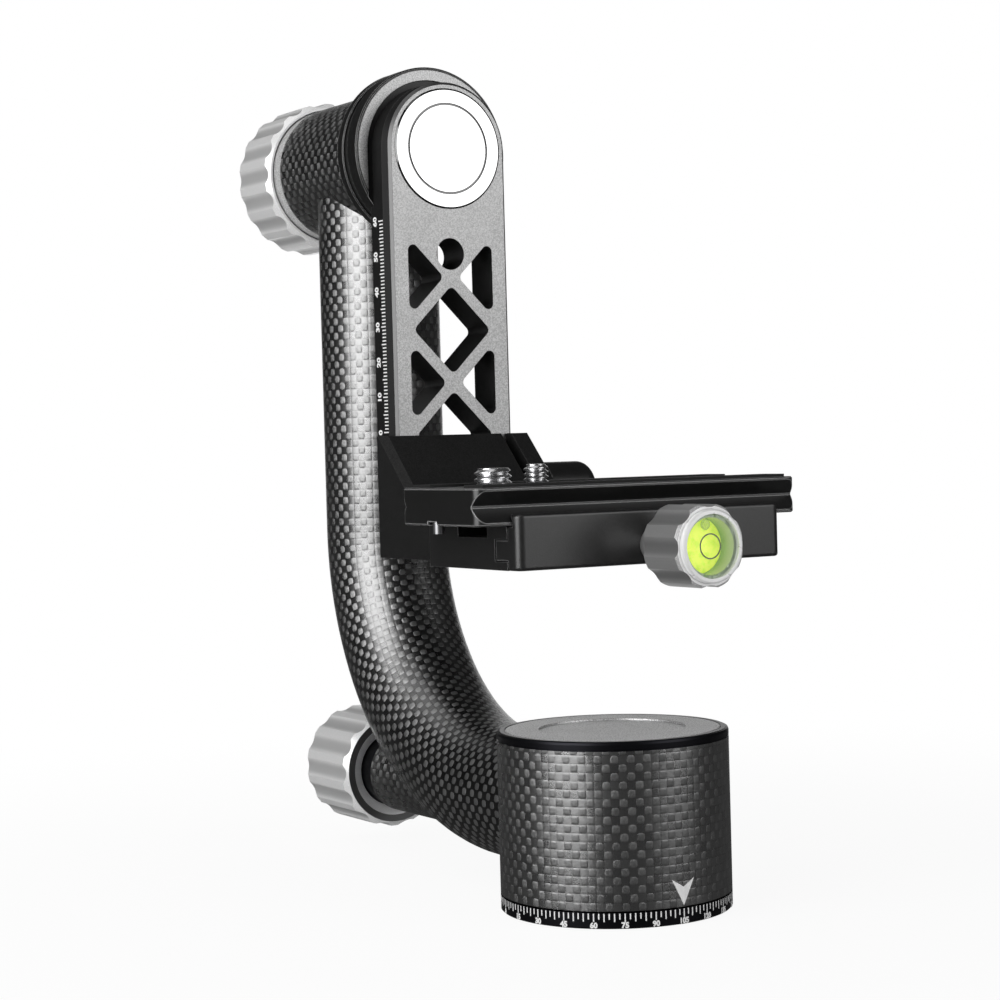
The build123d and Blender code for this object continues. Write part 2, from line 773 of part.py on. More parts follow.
def make_tilt_nut():
    nut = ring_y(
        nut_thread_radius + glue_gap, nut_radius - 0.5, rear_bearing_back, rear_bearing_back + nut_height,
        z=tilt_axis_height,
    )
    for place in PolarLocations(nut_radius - 0.5, 4):
        x, z = place.position.X, tilt_axis_height + place.position.Y
        nut -= cyl_y(nut_slot_radius, rear_bearing_back - 1, rear_bearing_back + nut_height + 1, x, z)
    return nut


def rotor_screw_places():
    places = PolarLocations(rotor_screw_circle, 4, start_angle=45)
    return [(p.position.X, tilt_axis_height + p.position.Y) for p in places]


def make_rotor_disc():
    disc = turned_y(
        tilt_axis_height, (0, rail_seat), (rotor_face_radius + glue_gap, rail_seat),
        (rotor_face_radius + glue_gap, rotor_front), (rotor_radius - 0.4, rotor_front),
        (rotor_radius, rotor_front + 0.4), (rotor_radius, rotor_back - 0.4),
        (rotor_radius - 0.4, rotor_back), (0, rotor_back),
    )
    disc -= rail_relief_cut()
    disc -= cyl_y(bearing_bore_radius + 3 + glue_gap, rotor_back - 2, rotor_back + 1, z=tilt_axis_height)
    for x, z in rotor_screw_places():
        disc -= cyl_y(2.0 + glue_gap, rotor_front - 1, rotor_back, x, z)
    return disc


def rail_outline(half_width, drop, y):
    """The rail's outline, round at the tilt axis and square at the lower end, as a face at y."""
    centre = tilt_axis_height
    left = Line((-half_width, y, centre - drop), (-half_width, y, centre))
    crown = ThreePointArc((-half_width, y, centre), (0, y, centre + half_width), (half_width, y, centre))
    right = Line((half_width, y, centre), (half_width, y, centre - drop))
    foot = Line((half_width, y, centre - drop), (-half_width, y, centre - drop))
    return make_face([left, crown, right, foot])


def rail_relief_cut():
    """The slot that the rail lies in, cut through the rotor's raised rim and its face plate."""
    outline = rail_outline(rail_half_width + rail_relief, rail_length, rotor_front - 1)
    return extrude(outline, amount=rotor_face_thickness + 1, dir=(0, 1, 0))


def make_rotor_face():
    return cyl_y(rotor_face_radius, rotor_front, rail_seat, z=tilt_axis_height) - rail_relief_cut()


def groove_cut():
    """The dovetail groove along both straight sides and round the crown."""
    a = rail_front + groove_start
    b = a + groove_width
    mid = (a + b) / 2
    land = 0.15
    inner = rail_half_width - groove_depth
    outer = rail_half_width + 1
    spread = groove_width / 2 + (groove_width / 2 - land) / groove_depth
    points = [(inner, mid - land), (inner, mid + land), (outer, mid + spread), (outer, mid - spread)]
    bottom = tilt_axis_height - rail_length - 1
    right = prism_z(bottom, tilt_axis_height, *points)
    left = prism_z(bottom, tilt_axis_height, *[(-x, y) for x, y in points])
    ring = turned_y(tilt_axis_height, *points)
    upper = block(-40, 40, rail_front - 5, rail_back + 5, tilt_axis_height, tilt_axis_height + 40)
    return [right, left, ring & upper]


def crossing_drops():
    return [first_crossing + i * truss_pitch for i in range(3)]


def truss_windows():
    """Side triangles at each crossing and diamonds between them, as cutters through the rail."""
    reach = strut_width / 2 * sqrt(2)
    half = window_half_width - reach
    y = rail_front - 1
    depth = rail_thickness + 2
    cutters = []
    for drop in crossing_drops():
        z = tilt_axis_height - drop
        for side in (-1, 1):
            corners = [
                (side * reach, y, z), (side * window_half_width, y, z + half),
                (side * window_half_width, y, z - half),
            ]
            face = make_face(Polyline(*corners, close=True))
            cutter = extrude(face, amount=depth, dir=(0, 1, 0))
            cutters.append(fillet(cutter.edges().filter_by(Axis.Y), window_fillet))
    diagonal = truss_pitch / 2 - reach
    for drop in crossing_drops()[:-1]:
        z = tilt_axis_height - drop - truss_pitch / 2
        corners = [(0, y, z + diagonal), (diagonal, y, z), (0, y, z - diagonal), (-diagonal, y, z)]
        face = make_face(Polyline(*corners, close=True))
        cutter = extrude(face, amount=depth, dir=(0, 1, 0))
        cutters.append(fillet(cutter.edges().filter_by(Axis.Y), window_fillet))
    return cutters


def lower_hole_drop():
    return crossing_drops()[-1] + first_crossing - rail_hole_drop


def make_swing_rail():
    outline = rail_outline(rail_half_width, rail_length, rail_front)
    rail = extrude(outline, amount=rail_thickness, dir=(0, 1, 0))
    front_edges = rail.faces().sort_by(Axis.Y)[0].edges()
    rail = chamfer(front_edges, rail_bevel)
    seat_cut = cyl_y(rotor_radius + body_gap, rail_seat, rail_back + 1, z=tilt_axis_height)
    rail -= seat_cut
    rail -= block(-40, 40, rail_seat, rail_back + 1, tilt_axis_height, tilt_axis_height + 40)
    for cutter in groove_cut():
        rail -= cutter
    for cutter in truss_windows():
        rail -= cutter
    for drop in (rail_hole_drop, lower_hole_drop()):
        rail -= cyl_y(rail_hole_radius, rail_front - 1, rail_back + 1, z=tilt_axis_height - drop)
    rail -= cyl_y(cap_radius + glue_gap, rail_front - 1, rail_front + cap_thickness - 0.3, z=tilt_axis_height)
    for x, z in rotor_screw_places():
        rail -= cyl_y(2.0 + glue_gap, rail_front - 1, rail_back + 1, x, z)
        rail -= cyl_y(3.6, rail_front - 1, rail_front + cap_thickness + 2.8, x, z)
    return rail


def make_axis_cap():
    front = rail_front - 0.3
    cap = turned_y(
        tilt_axis_height, (0, front), (cap_radius - 0.4, front), (cap_radius, front + 0.4),
        (cap_radius, front + cap_thickness), (0, front + cap_thickness),
    )
    inner, outer = cap_ring_radius - 0.3, cap_ring_radius + 0.3
    return cap - ring_y(inner, outer, front - 1, front + 0.3, z=tilt_axis_height)


def make_rotor_screws():
    screws = []
    seat = rail_front + cap_thickness + 2.8
    for x, z in rotor_screw_places():
        screw = cyl_y(3.5, seat - 2.4, seat, x, z)
        screw += cyl_y(2.0, seat, rotor_back - 2.2, x, z)
        screws.append(screw - cyl_y(1.5, seat - 3, seat - 1.2, x, z))
    return screws


# ---- platform on the rail --------------------------------------------------------------------------
def hook_outline(side, back):
    """A hook in plan that holds the rail's dovetail flange, with body_gap all round."""
    a = rail_front + groove_start
    mid = a + groove_width / 2
    rise = groove_width / 2 / groove_depth
    inner = rail_half_width + body_gap
    tip = rail_half_width - groove_depth + 0.5
    near = mid - (tip - rail_half_width + groove_depth) * rise + body_gap * 1.3
    far = mid + (tip - rail_half_width + groove_depth) * rise - body_gap * 1.3
    near, far = min(near, mid - 0.1), max(far, mid + 0.1)
    start = near - (inner - tip) * rise
    end = far + (inner - tip) * rise
    return [
        (side * inner, bracket_back - 1), (side * inner, start), (side * tip, near), (side * tip, far),
        (side * inner, end), (side * back, end), (side * back, bracket_back - 1),
    ]


def bracket_side_profile(front):
    """Side outline of the platform's upright: lip, 45-degree slope and foot."""
    return [
        (bracket_back, platform_bottom), (bracket_back, platform_z), (bracket_front_top, platform_z),
        (slope_foot_y, foot_top), (front, foot_top), (front, platform_bottom),
    ]


def make_platform_bracket():
    front = clamp_back + glue_gap
    body = prism_x(-bracket_left, bracket_right, *bracket_side_profile(front))
    slope_edge = (
        body.edges()
        .filter_by(lambda edge: abs(abs(edge.tangent_at(0).Z) - sqrt(0.5)) < 0.01)
        .sort_by(Axis.X)[0]
    )
    body = chamfer(slope_edge, bracket_edge)
    body -= block(
        jaw_pocket_x, bracket_right + 1, jaw_pocket_y, bracket_back + 1, platform_bottom - 1, platform_z + 1,
    )
    body += prism_z(platform_bottom, platform_z, *hook_outline(-1, hook_outer))
    tongue_front = clamp_tongue_front()
    body += block(
        -bracket_left, bracket_right, tongue_front, front, platform_bottom, platform_bottom + tongue_height,
    )
    body -= cyl_x(height_screw_radius + running_gap, jaw_pocket_x - height_screw_reach, jaw_pocket_x + 1,
                  height_axis_y, height_axis_z)
    for x, y in clamp_screw_places():
        body -= cyl_z(2.1, platform_bottom - 1, foot_top, x, y)
        body -= cone_z(4.1, 2.1, platform_bottom - 0.01, platform_bottom + 2, x, y)
    return body


def clamp_tongue_front():
    """Front end of the bracket's tongue under the clamp base."""
    return clamp_screw_end() + 2


def clamp_screw_end():
    return -jaw_split + clamp_screw_reach + tongue_depth


def clamp_screw_places():
    x_left = -bracket_left + 7
    x_right = bracket_right - 7
    y_near = clamp_tongue_front() + 6
    y_far = clamp_back - 5
    return [(x, y) for x in (x_left, x_right) for y in (y_near, y_far)]


def dovetail_wall(side):
    """Y of the outer wall, the lip and the slope of a jaw that grips the plate's lower edge."""
    edge = clamp_centre_y + side * (plate_half_width + body_gap)
    lean = plate_groove_depth / dovetail_rise()
    lip_z = plate_bottom + plate_land + 0.2
    tip_y = edge - side * (jaw_hook_top - lip_z) * lean
    return edge, lip_z, tip_y


def dovetail_rise():
    """Height over which one flank of the plate's groove runs in."""
    return (plate_thickness - 2 * plate_land - plate_waist) / 2


def make_clamp_base():
    half = clamp_length / 2
    edge, lip_z, tip_y = dovetail_wall(1)
    base = prism_x(
        -half, half, (-jaw_split, platform_bottom), (clamp_back, platform_bottom), (clamp_back, jaw_hook_top),
        (tip_y, jaw_hook_top), (edge, lip_z), (edge, clamp_seat), (-jaw_split, clamp_seat),
    )
    mid = clamp_axis_z
    low = mid - tongue_thickness / 2 - body_gap
    high = mid + tongue_thickness / 2 + body_gap
    base -= block(-half - 1, half + 1, -jaw_split - 1, -jaw_split + tongue_depth, low, high)
    for x0, x1 in ((-half - 1, -channel_end), (channel_end, half + 1)):
        base -= block(x0, x1, clamp_centre_y - channel_half_width, clamp_centre_y + channel_half_width,
                      clamp_seat - channel_depth, clamp_seat + 1)
    base -= block(-bracket_left - glue_gap, bracket_right + glue_gap, clamp_tongue_front() - glue_gap,
                  clamp_back + 1, platform_bottom - 1, platform_bottom + tongue_height + glue_gap)
    base -= cyl_y(clamp_screw_radius + running_gap, -jaw_split - 1, clamp_screw_end(), z=clamp_axis_z)
    for x, y in clamp_screw_places():
        base -= cyl_z(2.0 + glue_gap, platform_bottom, clamp_seat - 1.2, x, y)
    return base


def make_clamp_base_screws():
    screws = []
    for x, y in clamp_screw_places():
        screw = cone_z(3.9, 2.0, platform_bottom + 0.15, platform_bottom + 2, x, y)
        screw += cyl_z(2.0, platform_bottom + 2, clamp_seat - 1.5, x, y)
        screws.append(screw - cyl_z(1.2, platform_bottom, platform_bottom + 1.3, x, y))
    return screws


def make_rail_jaw():
    low_front = jaw_pocket_y + 1.0
    drop = bracket_front_top - low_front
    jaw = prism_x(
        rail_jaw_left, bracket_right, (bracket_back, platform_bottom), (bracket_back, platform_z),
        (bracket_front_top, platform_z), (low_front, platform_z - drop), (low_front, platform_bottom),
    )
    jaw += prism_z(platform_bottom, platform_z, *hook_outline(1, bracket_right))
    return jaw - cyl_x(height_screw_radius + running_gap, rail_jaw_left - 1, bracket_right + 1,
                       height_axis_y, height_axis_z)


def make_height_knob():
    start = bracket_right + face_gap
    knob = cyl_x(height_knob_radius, start, start + height_knob_length, height_axis_y, height_axis_z)
    knob = fillet(knob.edges().sort_by(Axis.X)[-1], height_knob_radius * 0.45)
    return knob - cyl_x(height_screw_radius + glue_gap, start - 1, start + height_knob_length - 5,
                        height_axis_y, height_axis_z)


def make_height_screw():
    start = jaw_pocket_x - height_screw_reach + 0.5
    end = bracket_right + face_gap + height_knob_length - 5.2
    return cyl_x(height_screw_radius, start, end, height_axis_y, height_axis_z)


# ---- quick-release clamp jaw, knob and level --------------------------------------------------------
def make_clamp_jaw():
    half = clamp_length / 2
    edge, lip_z, tip_y = dovetail_wall(-1)
    jaw = prism_x(
        -half, half, (clamp_front, platform_bottom), (clamp_front, jaw_hook_top), (tip_y, jaw_hook_top),
        (edge, lip_z), (edge, clamp_seat), (jaw_inner, clamp_seat - 0.2), (jaw_inner, platform_bottom),
    )
    jaw = fillet(jaw.edges().filter_by(Axis.Z).group_by(Axis.Y)[0], jaw_corner)
    jaw = fillet(jaw.edges().filter_by(Axis.X).group_by(Axis.Y)[0], jaw_edge)
    low = clamp_axis_z - tongue_thickness / 2
    jaw += block(-half, half, jaw_inner - 1, -jaw_split + tongue_depth - 0.7, low, low + tongue_thickness)
    return jaw - cyl_y(clamp_screw_radius + running_gap, clamp_front - 1, 0, z=clamp_axis_z)


def make_clamp_knob():
    length = clamp_knob_front - clamp_knob_back
    grip = Pos(0, -clamp_knob_back, clamp_axis_z) * Rot(90, 0, 0) * fluted_blank(
        clamp_knob_radius, clamp_knob_flutes, length, knob_edge)
    start = clamp_front - face_gap
    grip += cone_y(clamp_knob_radius - 1.0, clamp_neck_radius, -clamp_knob_back - 0.5, start, z=clamp_axis_z)
    front = -clamp_knob_front
    grip -= cyl_y(level_radius + glue_gap, front - 1, front + level_depth, z=clamp_axis_z)
    grip -= cyl_y(bezel_radius + glue_gap, front - 1, front + bezel_sink, z=clamp_axis_z)
    return grip - cyl_y(clamp_screw_radius + glue_gap, front + level_depth + 2, start + 1, z=clamp_axis_z)


def make_clamp_screw():
    return cyl_y(
        clamp_screw_radius, -clamp_knob_front + level_depth + 2.2, clamp_screw_end() - 0.5, z=clamp_axis_z,
    )


def make_level_bezel():
    front = -clamp_knob_front - bezel_stand
    back = -clamp_knob_front + bezel_sink
    return turned_y(
        clamp_axis_z, (level_radius + glue_gap, front), (bezel_radius - 0.4, front),
        (bezel_radius, front + 0.4), (bezel_radius, back), (level_radius + glue_gap, back),
    )


def lens_front():
    return -clamp_knob_front - bezel_stand + 0.3


def make_level_vial():
    front = lens_front() + lens_thickness
    back = -clamp_knob_front + level_depth - glue_gap
    vial = cyl_y(level_radius, front, back, z=clamp_axis_z)
    return vial - cyl_y(level_radius - level_wall, front - 1, back - level_floor, z=clamp_axis_z)


def make_level_lens():
    return cyl_y(level_radius, lens_front(), lens_front() + lens_thickness, z=clamp_axis_z)


# ---- release plate -----------------------------------------------------------------------------------
def plate_x(offset):
    return plate_shift + offset


def slot_z(half_width, x0, x1, z0, z1):
    """A slot with round ends along X, centred on the plate."""
    y = clamp_centre_y
    slot = block(x0, x1, y - half_width, y + half_width, z0, z1)
    return slot + cyl_z(half_width, z0, z1, x0, y) + cyl_z(half_width, z0, z1, x1, y)


def make_release_plate():
    half = plate_length / 2
    rise = dovetail_rise()
    front, back, depth = plate_front, plate_back, plate_groove_depth
    z1 = plate_bottom + plate_land
    z2 = z1 + rise
    z3 = z2 + plate_waist
    z4 = z3 + rise
    plate = block(plate_x(-half), plate_x(half), front, back, plate_bottom, plate_top)
    plate = fillet(plate.edges().filter_by(Axis.Z), plate_corner)
    outline = plate.faces().sort_by(Axis.Z)
    plate = chamfer(outline[0].edges() + outline[-1].edges(), plate_edge)
    for wall, inward in ((front, 1), (back, -1)):
        outside = wall - inward * 3
        plate -= prism_x(
            plate_x(-half) - 1, plate_x(half) + 1, (wall, z1), (wall + inward * depth, z2),
            (wall + inward * depth, z3), (wall, z4), (outside, z4), (outside, z1),
        )
    slot_start = big_screw_x - big_slot_travel
    slot_end = small_screw_x + small_slot_travel
    low, high = plate_bottom - 1, plate_top + 1
    plate -= slot_z(big_screw_radius + body_gap, slot_start, big_screw_x, low, high)
    plate -= slot_z(small_screw_radius + body_gap, small_screw_x, slot_end, low, high)
    plate -= slot_z(head_slot_half_width, slot_start, slot_end, low, plate_bottom + head_slot_depth)
    for x0, x1, y0, y1 in pad_places():
        plate -= block(x0 - glue_gap, x1 + glue_gap, y0 - glue_gap, y1 + glue_gap,
                       plate_top - pad_strip_sink, plate_top + 1)
    y = stop_pin_y()
    notch = stop_pin_radius + 0.9
    for x in stop_pin_places():
        end = plate_x(copysign(half + 1, x))
        inside = x - copysign(notch, x)
        plate -= block(min(end, inside), max(end, inside), y - notch, y + notch, low, plate_bottom + stop_pin_relief)
        plate -= cyl_z(stop_pin_radius + glue_gap, low, plate_bottom + stop_pin_sink + 0.1, x, y)
    return plate


def pad_places():
    half = pad_strip_length / 2
    offset = small_screw_radius + 5.2
    y = clamp_centre_y
    return [
        (plate_x(-half), plate_x(half), y - offset - pad_strip_width, y - offset),
        (plate_x(-half), plate_x(half), y + offset, y + offset + pad_strip_width),
    ]


def make_plate_pads():
    low = plate_top - pad_strip_sink
    return [block(x0, x1, y0, y1, low, low + pad_strip_height) for x0, x1, y0, y1 in pad_places()]


def stop_pin_places():
    reach = plate_length / 2 - stop_pin_inset
    return [plate_x(-reach), plate_x(reach)]


def stop_pin_y():
    return clamp_centre_y + stop_pin_offset


def make_stop_pins():
    low, high = plate_bottom - stop_pin_drop, plate_bottom + stop_pin_sink
    return [cyl_z(stop_pin_radius, low, high, x, stop_pin_y()) for x in stop_pin_places()]


def camera_screw(x, radius, stand):
    """A camera screw with its slotted head under the plate and a tapered tip above it."""
    y = clamp_centre_y
    head_low = plate_bottom + body_gap
    head_top = head_low + screw_head_height
    top = plate_top + stand
    thread_start = plate_top + screw_thread_rise
    screw = cyl_z(radius + 1.9, head_low, head_top, x, y)
    screw += cyl_z(radius - screw_neck_relief, head_top, thread_start, x, y)
    screw += cyl_z(radius, thread_start, top - 0.8, x, y)
    screw += cone_z(radius, radius - 0.8, top - 0.8, top, x, y)
    return screw - block(x - radius, x + radius, y - 0.7, y + 0.7, head_low - 1, head_low + 1.4)


def screw_washer(x, radius):
    """The captive washer that rides in the plate's slot and carries a camera screw."""
    y = clamp_centre_y
    low = plate_bottom + body_gap + screw_head_height + face_gap
    washer = cyl_z(radius + 1.7, low, low + screw_washer_height, x, y)
    return washer - cyl_z(radius - screw_neck_relief + running_gap, low - 1, low + 2, x, y)


# ---- build -------------------------------------------------------------------------------------------
def pieces():
    """Every node with its solid or its list of separate solids."""
    places = bearing_places()
    return {
        "base_plate": make_base_plate(),
        "thread_bushing": make_thread_bushing(),
        "pan_spindle": make_pan_spindle(),
        "spindle_screws": make_spindle_screws(),
        "pan_thrust_washer": make_thrust_washer(),
        "pan_bearing_inner_race": places[0] * inner_race(),
        "pan_retaining_nut": make_pan_nut(),
        "base_sleeve": make_base_sleeve(),
        "housing_core": make_housing_core(),
        "bearing_outer_races": [place * outer_race() for place in places],
        "bearing_balls": [place * ball for place in places for ball in race_balls()],
        "bearing_circlip": make_circlip(),
        "top_cap": make_top_cap(),
        "top_disc": make_top_disc(),
        "cap_screws": make_cap_screws(),
        "arm_tube": make_arm_tube(),
        "arm_base_plug": make_arm_base_plug(),
        "arm_top_plug": make_arm_top_plug(),
        "arm_screws": make_arm_screws(),
        "stub_tube": make_stub_tube(),
        "stub_bush": make_stub_bush(),
        "hub_tube": make_hub_tube(),
        "hub_core": make_hub_core(),
        "hub_flange": make_hub_flange(),
        "flange_screws": make_flange_screws(),
        "friction_ring": make_friction_ring(),
        "hub_end_ring": make_hub_end_ring(),
        "pan_lock_knob": make_pan_knob(),
        "pan_lock_rod": make_pan_rod(),
        "pan_brake_pad": make_pan_pad(),
        "tilt_lock_knob": make_tilt_knob(),
        "tilt_lock_rod": make_tilt_rod(),
        "tilt_brake_pad": make_tilt_pad(),
        "tilt_shaft": make_tilt_shaft(),
        "tilt_bearing_inner_races": [place * inner_race() for place in places[1:]],
        "tilt_nut": make_tilt_nut(),
        "rotor_disc": make_rotor_disc(),
        "rotor_face": make_rotor_face(),
        "swing_rail": make_swing_rail(),
        "axis_cap": make_axis_cap(),
        "rotor_screws": make_rotor_screws(),
        "platform_bracket": make_platform_bracket(),
        "clamp_base": make_clamp_base(),
        "clamp_base_screws": make_clamp_base_screws(),
        "rail_jaw": make_rail_jaw(),
        "height_knob": make_height_knob(),
        "height_screw": make_height_screw(),
        "clamp_jaw": make_clamp_jaw(),
        "clamp_knob": make_clamp_knob(),
        "clamp_screw": make_clamp_screw(),
        "level_bezel": make_level_bezel(),
        "level_vial": make_level_vial(),
        "level_lens": make_level_lens(),
        "release_plate": make_release_plate(),
        "plate_pads": make_plate_pads(),
        "plate_stop_pins": make_stop_pins(),
        "big_screw_washer": screw_washer(big_screw_x, big_screw_radius),
        "big_camera_screw": camera_screw(big_screw_x, big_screw_radius, big_screw_stand),
        "small_screw_washer": screw_washer(small_screw_x, small_screw_radius),
        "small_camera_screw": camera_screw(small_screw_x, small_screw_radius, small_screw_stand),
    }


def single(shape):
    """The solids of a shape or of a list of shapes, as one exportable object."""
    shapes = shape if isinstance(shape, list) else [shape]
    solids = [solid for item in shapes for solid in item.solids()]
    return solids[0] if len(solids) == 1 else Compound(children=solids)


os.makedirs("parts", exist_ok=True)
for node, shape in pieces().items():
    export_step(single(shape), f"parts/{node}.step")
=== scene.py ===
"""Gimbal tripod head: finishes, printed scales, screw threads, spirit level and studio.

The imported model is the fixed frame. Every class below is one sub-assembly of the head: it holds its
sizes in millimetres, dresses the solids that belong to it and adds the pieces that are too fine
for them.
"""
import sys
import logging
import math
from dataclasses import dataclass, field
from enum import Enum
from typing import Any, Callable, Mapping, Sequence

import bmesh
import bpy
from mathutils import Matrix, Vector


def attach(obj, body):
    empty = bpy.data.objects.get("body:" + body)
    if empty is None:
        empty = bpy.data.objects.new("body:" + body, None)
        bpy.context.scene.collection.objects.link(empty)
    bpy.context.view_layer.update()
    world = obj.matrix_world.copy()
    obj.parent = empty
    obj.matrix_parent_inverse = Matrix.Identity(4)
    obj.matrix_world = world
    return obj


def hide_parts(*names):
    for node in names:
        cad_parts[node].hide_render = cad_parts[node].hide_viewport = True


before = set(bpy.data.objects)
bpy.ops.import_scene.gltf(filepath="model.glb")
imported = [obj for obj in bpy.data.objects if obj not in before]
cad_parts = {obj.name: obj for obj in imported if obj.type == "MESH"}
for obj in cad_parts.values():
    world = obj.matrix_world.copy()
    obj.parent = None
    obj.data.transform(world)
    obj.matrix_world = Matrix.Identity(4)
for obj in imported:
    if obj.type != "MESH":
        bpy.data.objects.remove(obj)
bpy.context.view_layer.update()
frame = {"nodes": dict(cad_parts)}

LOG = logging.getLogger("gimbal_head")
MM = 0.001
TURN = 2.0 * math.pi
TILT_Z, PAN_LOCK_Z, LEVEL_Z = 205.0, 22.9, 94.3  # heights of the three axes that run along Y, in mm
BACKDROP = (0.5175, 0.8553, 0.0)  # direction of the white backdrop
BACKDROP_EDGE = (0.90, 0.985)  # cosines to it between which the white comes in
BEVEL_SAMPLES = 6
EDGE_WEAR_AND_LIGHT = (0.008, 0.09)  # turn of a rounded normal where the edges' wear and painted highlight start and are whole
CLOUD_SHARE = 0.25  # share of wide clouds in a mottled finish

Value = Any
Point = tuple[float, float, float]
Face = tuple[int, ...]
Outline = Sequence[tuple[float, float]]
Placer = Callable[[float, float, float], Point]


# ---- shader graphs -------------------------------------------------------------------------------
class Sock:
    """A shader socket that takes part in Python arithmetic.

    Args:
        graph: The graph that the socket's node stands in.
        socket: The output socket itself.
    """

    def __init__(self, graph: "Graph", socket: bpy.types.NodeSocket) -> None:
        """Keep the graph and the socket."""
        self.graph = graph
        self.socket = socket

    @property
    def is_vector(self) -> bool:
        """Whether the socket carries a vector or a colour."""
        return self.socket.type in {"VECTOR", "RGBA"}

    def _join(self, operation: str, other: Value, swapped: bool = False) -> "Sock":
        """Add the Math or Vector Math node for one binary operation.

        Args:
            operation: The node's operation.
            other: The second operand, a number, a tuple or a socket.
            swapped: Whether the second operand comes first.

        Returns:
            The result's socket.
        """
        pair = (other, self) if swapped else (self, other)
        vectors = [isinstance(v, tuple) or (isinstance(v, Sock) and v.is_vector) for v in pair]
        kind, inputs = "ShaderNodeVectorMath", {0: pair[0], 1: pair[1]}
        if not any(vectors):
            kind = "ShaderNodeMath"
        elif operation == "MULTIPLY" and not all(vectors):
            vector, number = pair if vectors[0] else pair[::-1]
            operation, inputs = "SCALE", {0: vector, "Scale": number}
        return self.graph.node(kind, {"operation": operation}, inputs)[0]

    def __add__(self, other: Value) -> "Sock":
        """Sum."""
        return self._join("ADD", other)

    __radd__ = __add__

    def __sub__(self, other: Value) -> "Sock":
        """Difference."""
        return self._join("SUBTRACT", other)

    def __rsub__(self, other: Value) -> "Sock":
        """Difference with the number first."""
        return self._join("SUBTRACT", other, swapped=True)

    def __mul__(self, other: Value) -> "Sock":
        """Product."""
        return self._join("MULTIPLY", other)

    __rmul__ = __mul__

    def __truediv__(self, other: Value) -> "Sock":
        """Quotient."""
        return self._join("DIVIDE", other)

    def __rtruediv__(self, other: Value) -> "Sock":
        """Quotient with the number first."""
        return self._join("DIVIDE", other, swapped=True)

    def __neg__(self) -> "Sock":
        """The value with its sign turned."""
        return self * -1.0

    def __abs__(self) -> "Sock":
        """The value without its sign."""
        return self.op("ABSOLUTE")

    def op(self, operation: str, *others: Value) -> "Sock":
        """A Math node on this value.

        Args:
            operation: The node's operation.
            others: Its further operands.

        Returns:
            The result's socket.
        """
        inputs = {0: self, **{i + 1: v for i, v in enumerate(others)}}
        return self.graph.node("ShaderNodeMath", {"operation": operation}, inputs)[0]

    def vec(self, operation: str, *others: Value, out: int = 0) -> "Sock":
        """A Vector Math node on this vector.

        Args:
            operation: The node's operation.
            others: Its further operands.
            out: The output to take, 1 for a number such as a dot product.

        Returns:
            The result's socket.
        """
        inputs = {0: self, **{i + 1: v for i, v in enumerate(others)}}
        return self.graph.node("ShaderNodeVectorMath", {"operation": operation}, inputs)[out]

    def swing(self, width: float) -> "Sock":
        """How far the value is from its middle at 0.5, with that width in all."""
        return (self - 0.5) * width

    def hypot(self, other: "Sock") -> "Sock":
        """The length of a line that runs this far one way and so far the other."""
        return (self * self + other * other).op("SQRT")

    def within(self) -> "Sock":
        """The place within a cell that is 1 long, from -1 at its start to 1 at its end."""
        return self.op("FRACT") * 2.0 - 1.0

    def step(self, low: float, high: float) -> "Sock":
        """A smooth step on this value.

        Args:
            low: Where it is 0.
            high: Where it is 1.

        Returns:
            The result's socket.
        """
        return self.graph.node(
            "ShaderNodeMapRange", {"interpolation_type": "SMOOTHSTEP"},
            {"Value": self, "From Min": low, "From Max": high},
        )[0]


class Made:
    """The outputs of a node that has just been made.

    Args:
        graph: The graph that the node stands in.
        node: The node.
    """

    def __init__(self, graph: "Graph", node: bpy.types.Node) -> None:
        """Keep the graph and the node."""
        self.graph = graph
        self.node = node

    def __getitem__(self, key: int | str) -> Sock:
        """The output with that place, name or identifier."""
        return Sock(self.graph, find_socket(self.node.outputs, key))


def find_socket(sockets: Sequence[bpy.types.NodeSocket], key: int | str) -> bpy.types.NodeSocket:
    """A node's socket by its place, identifier or name.

    Args:
        sockets: The node's inputs or outputs.
        key: What to look for.

    Returns:
        The socket.
    """
    if isinstance(key, int):
        return sockets[key]
    for socket in sockets:
        if socket.identifier == key:
            return socket
    return sockets[key]


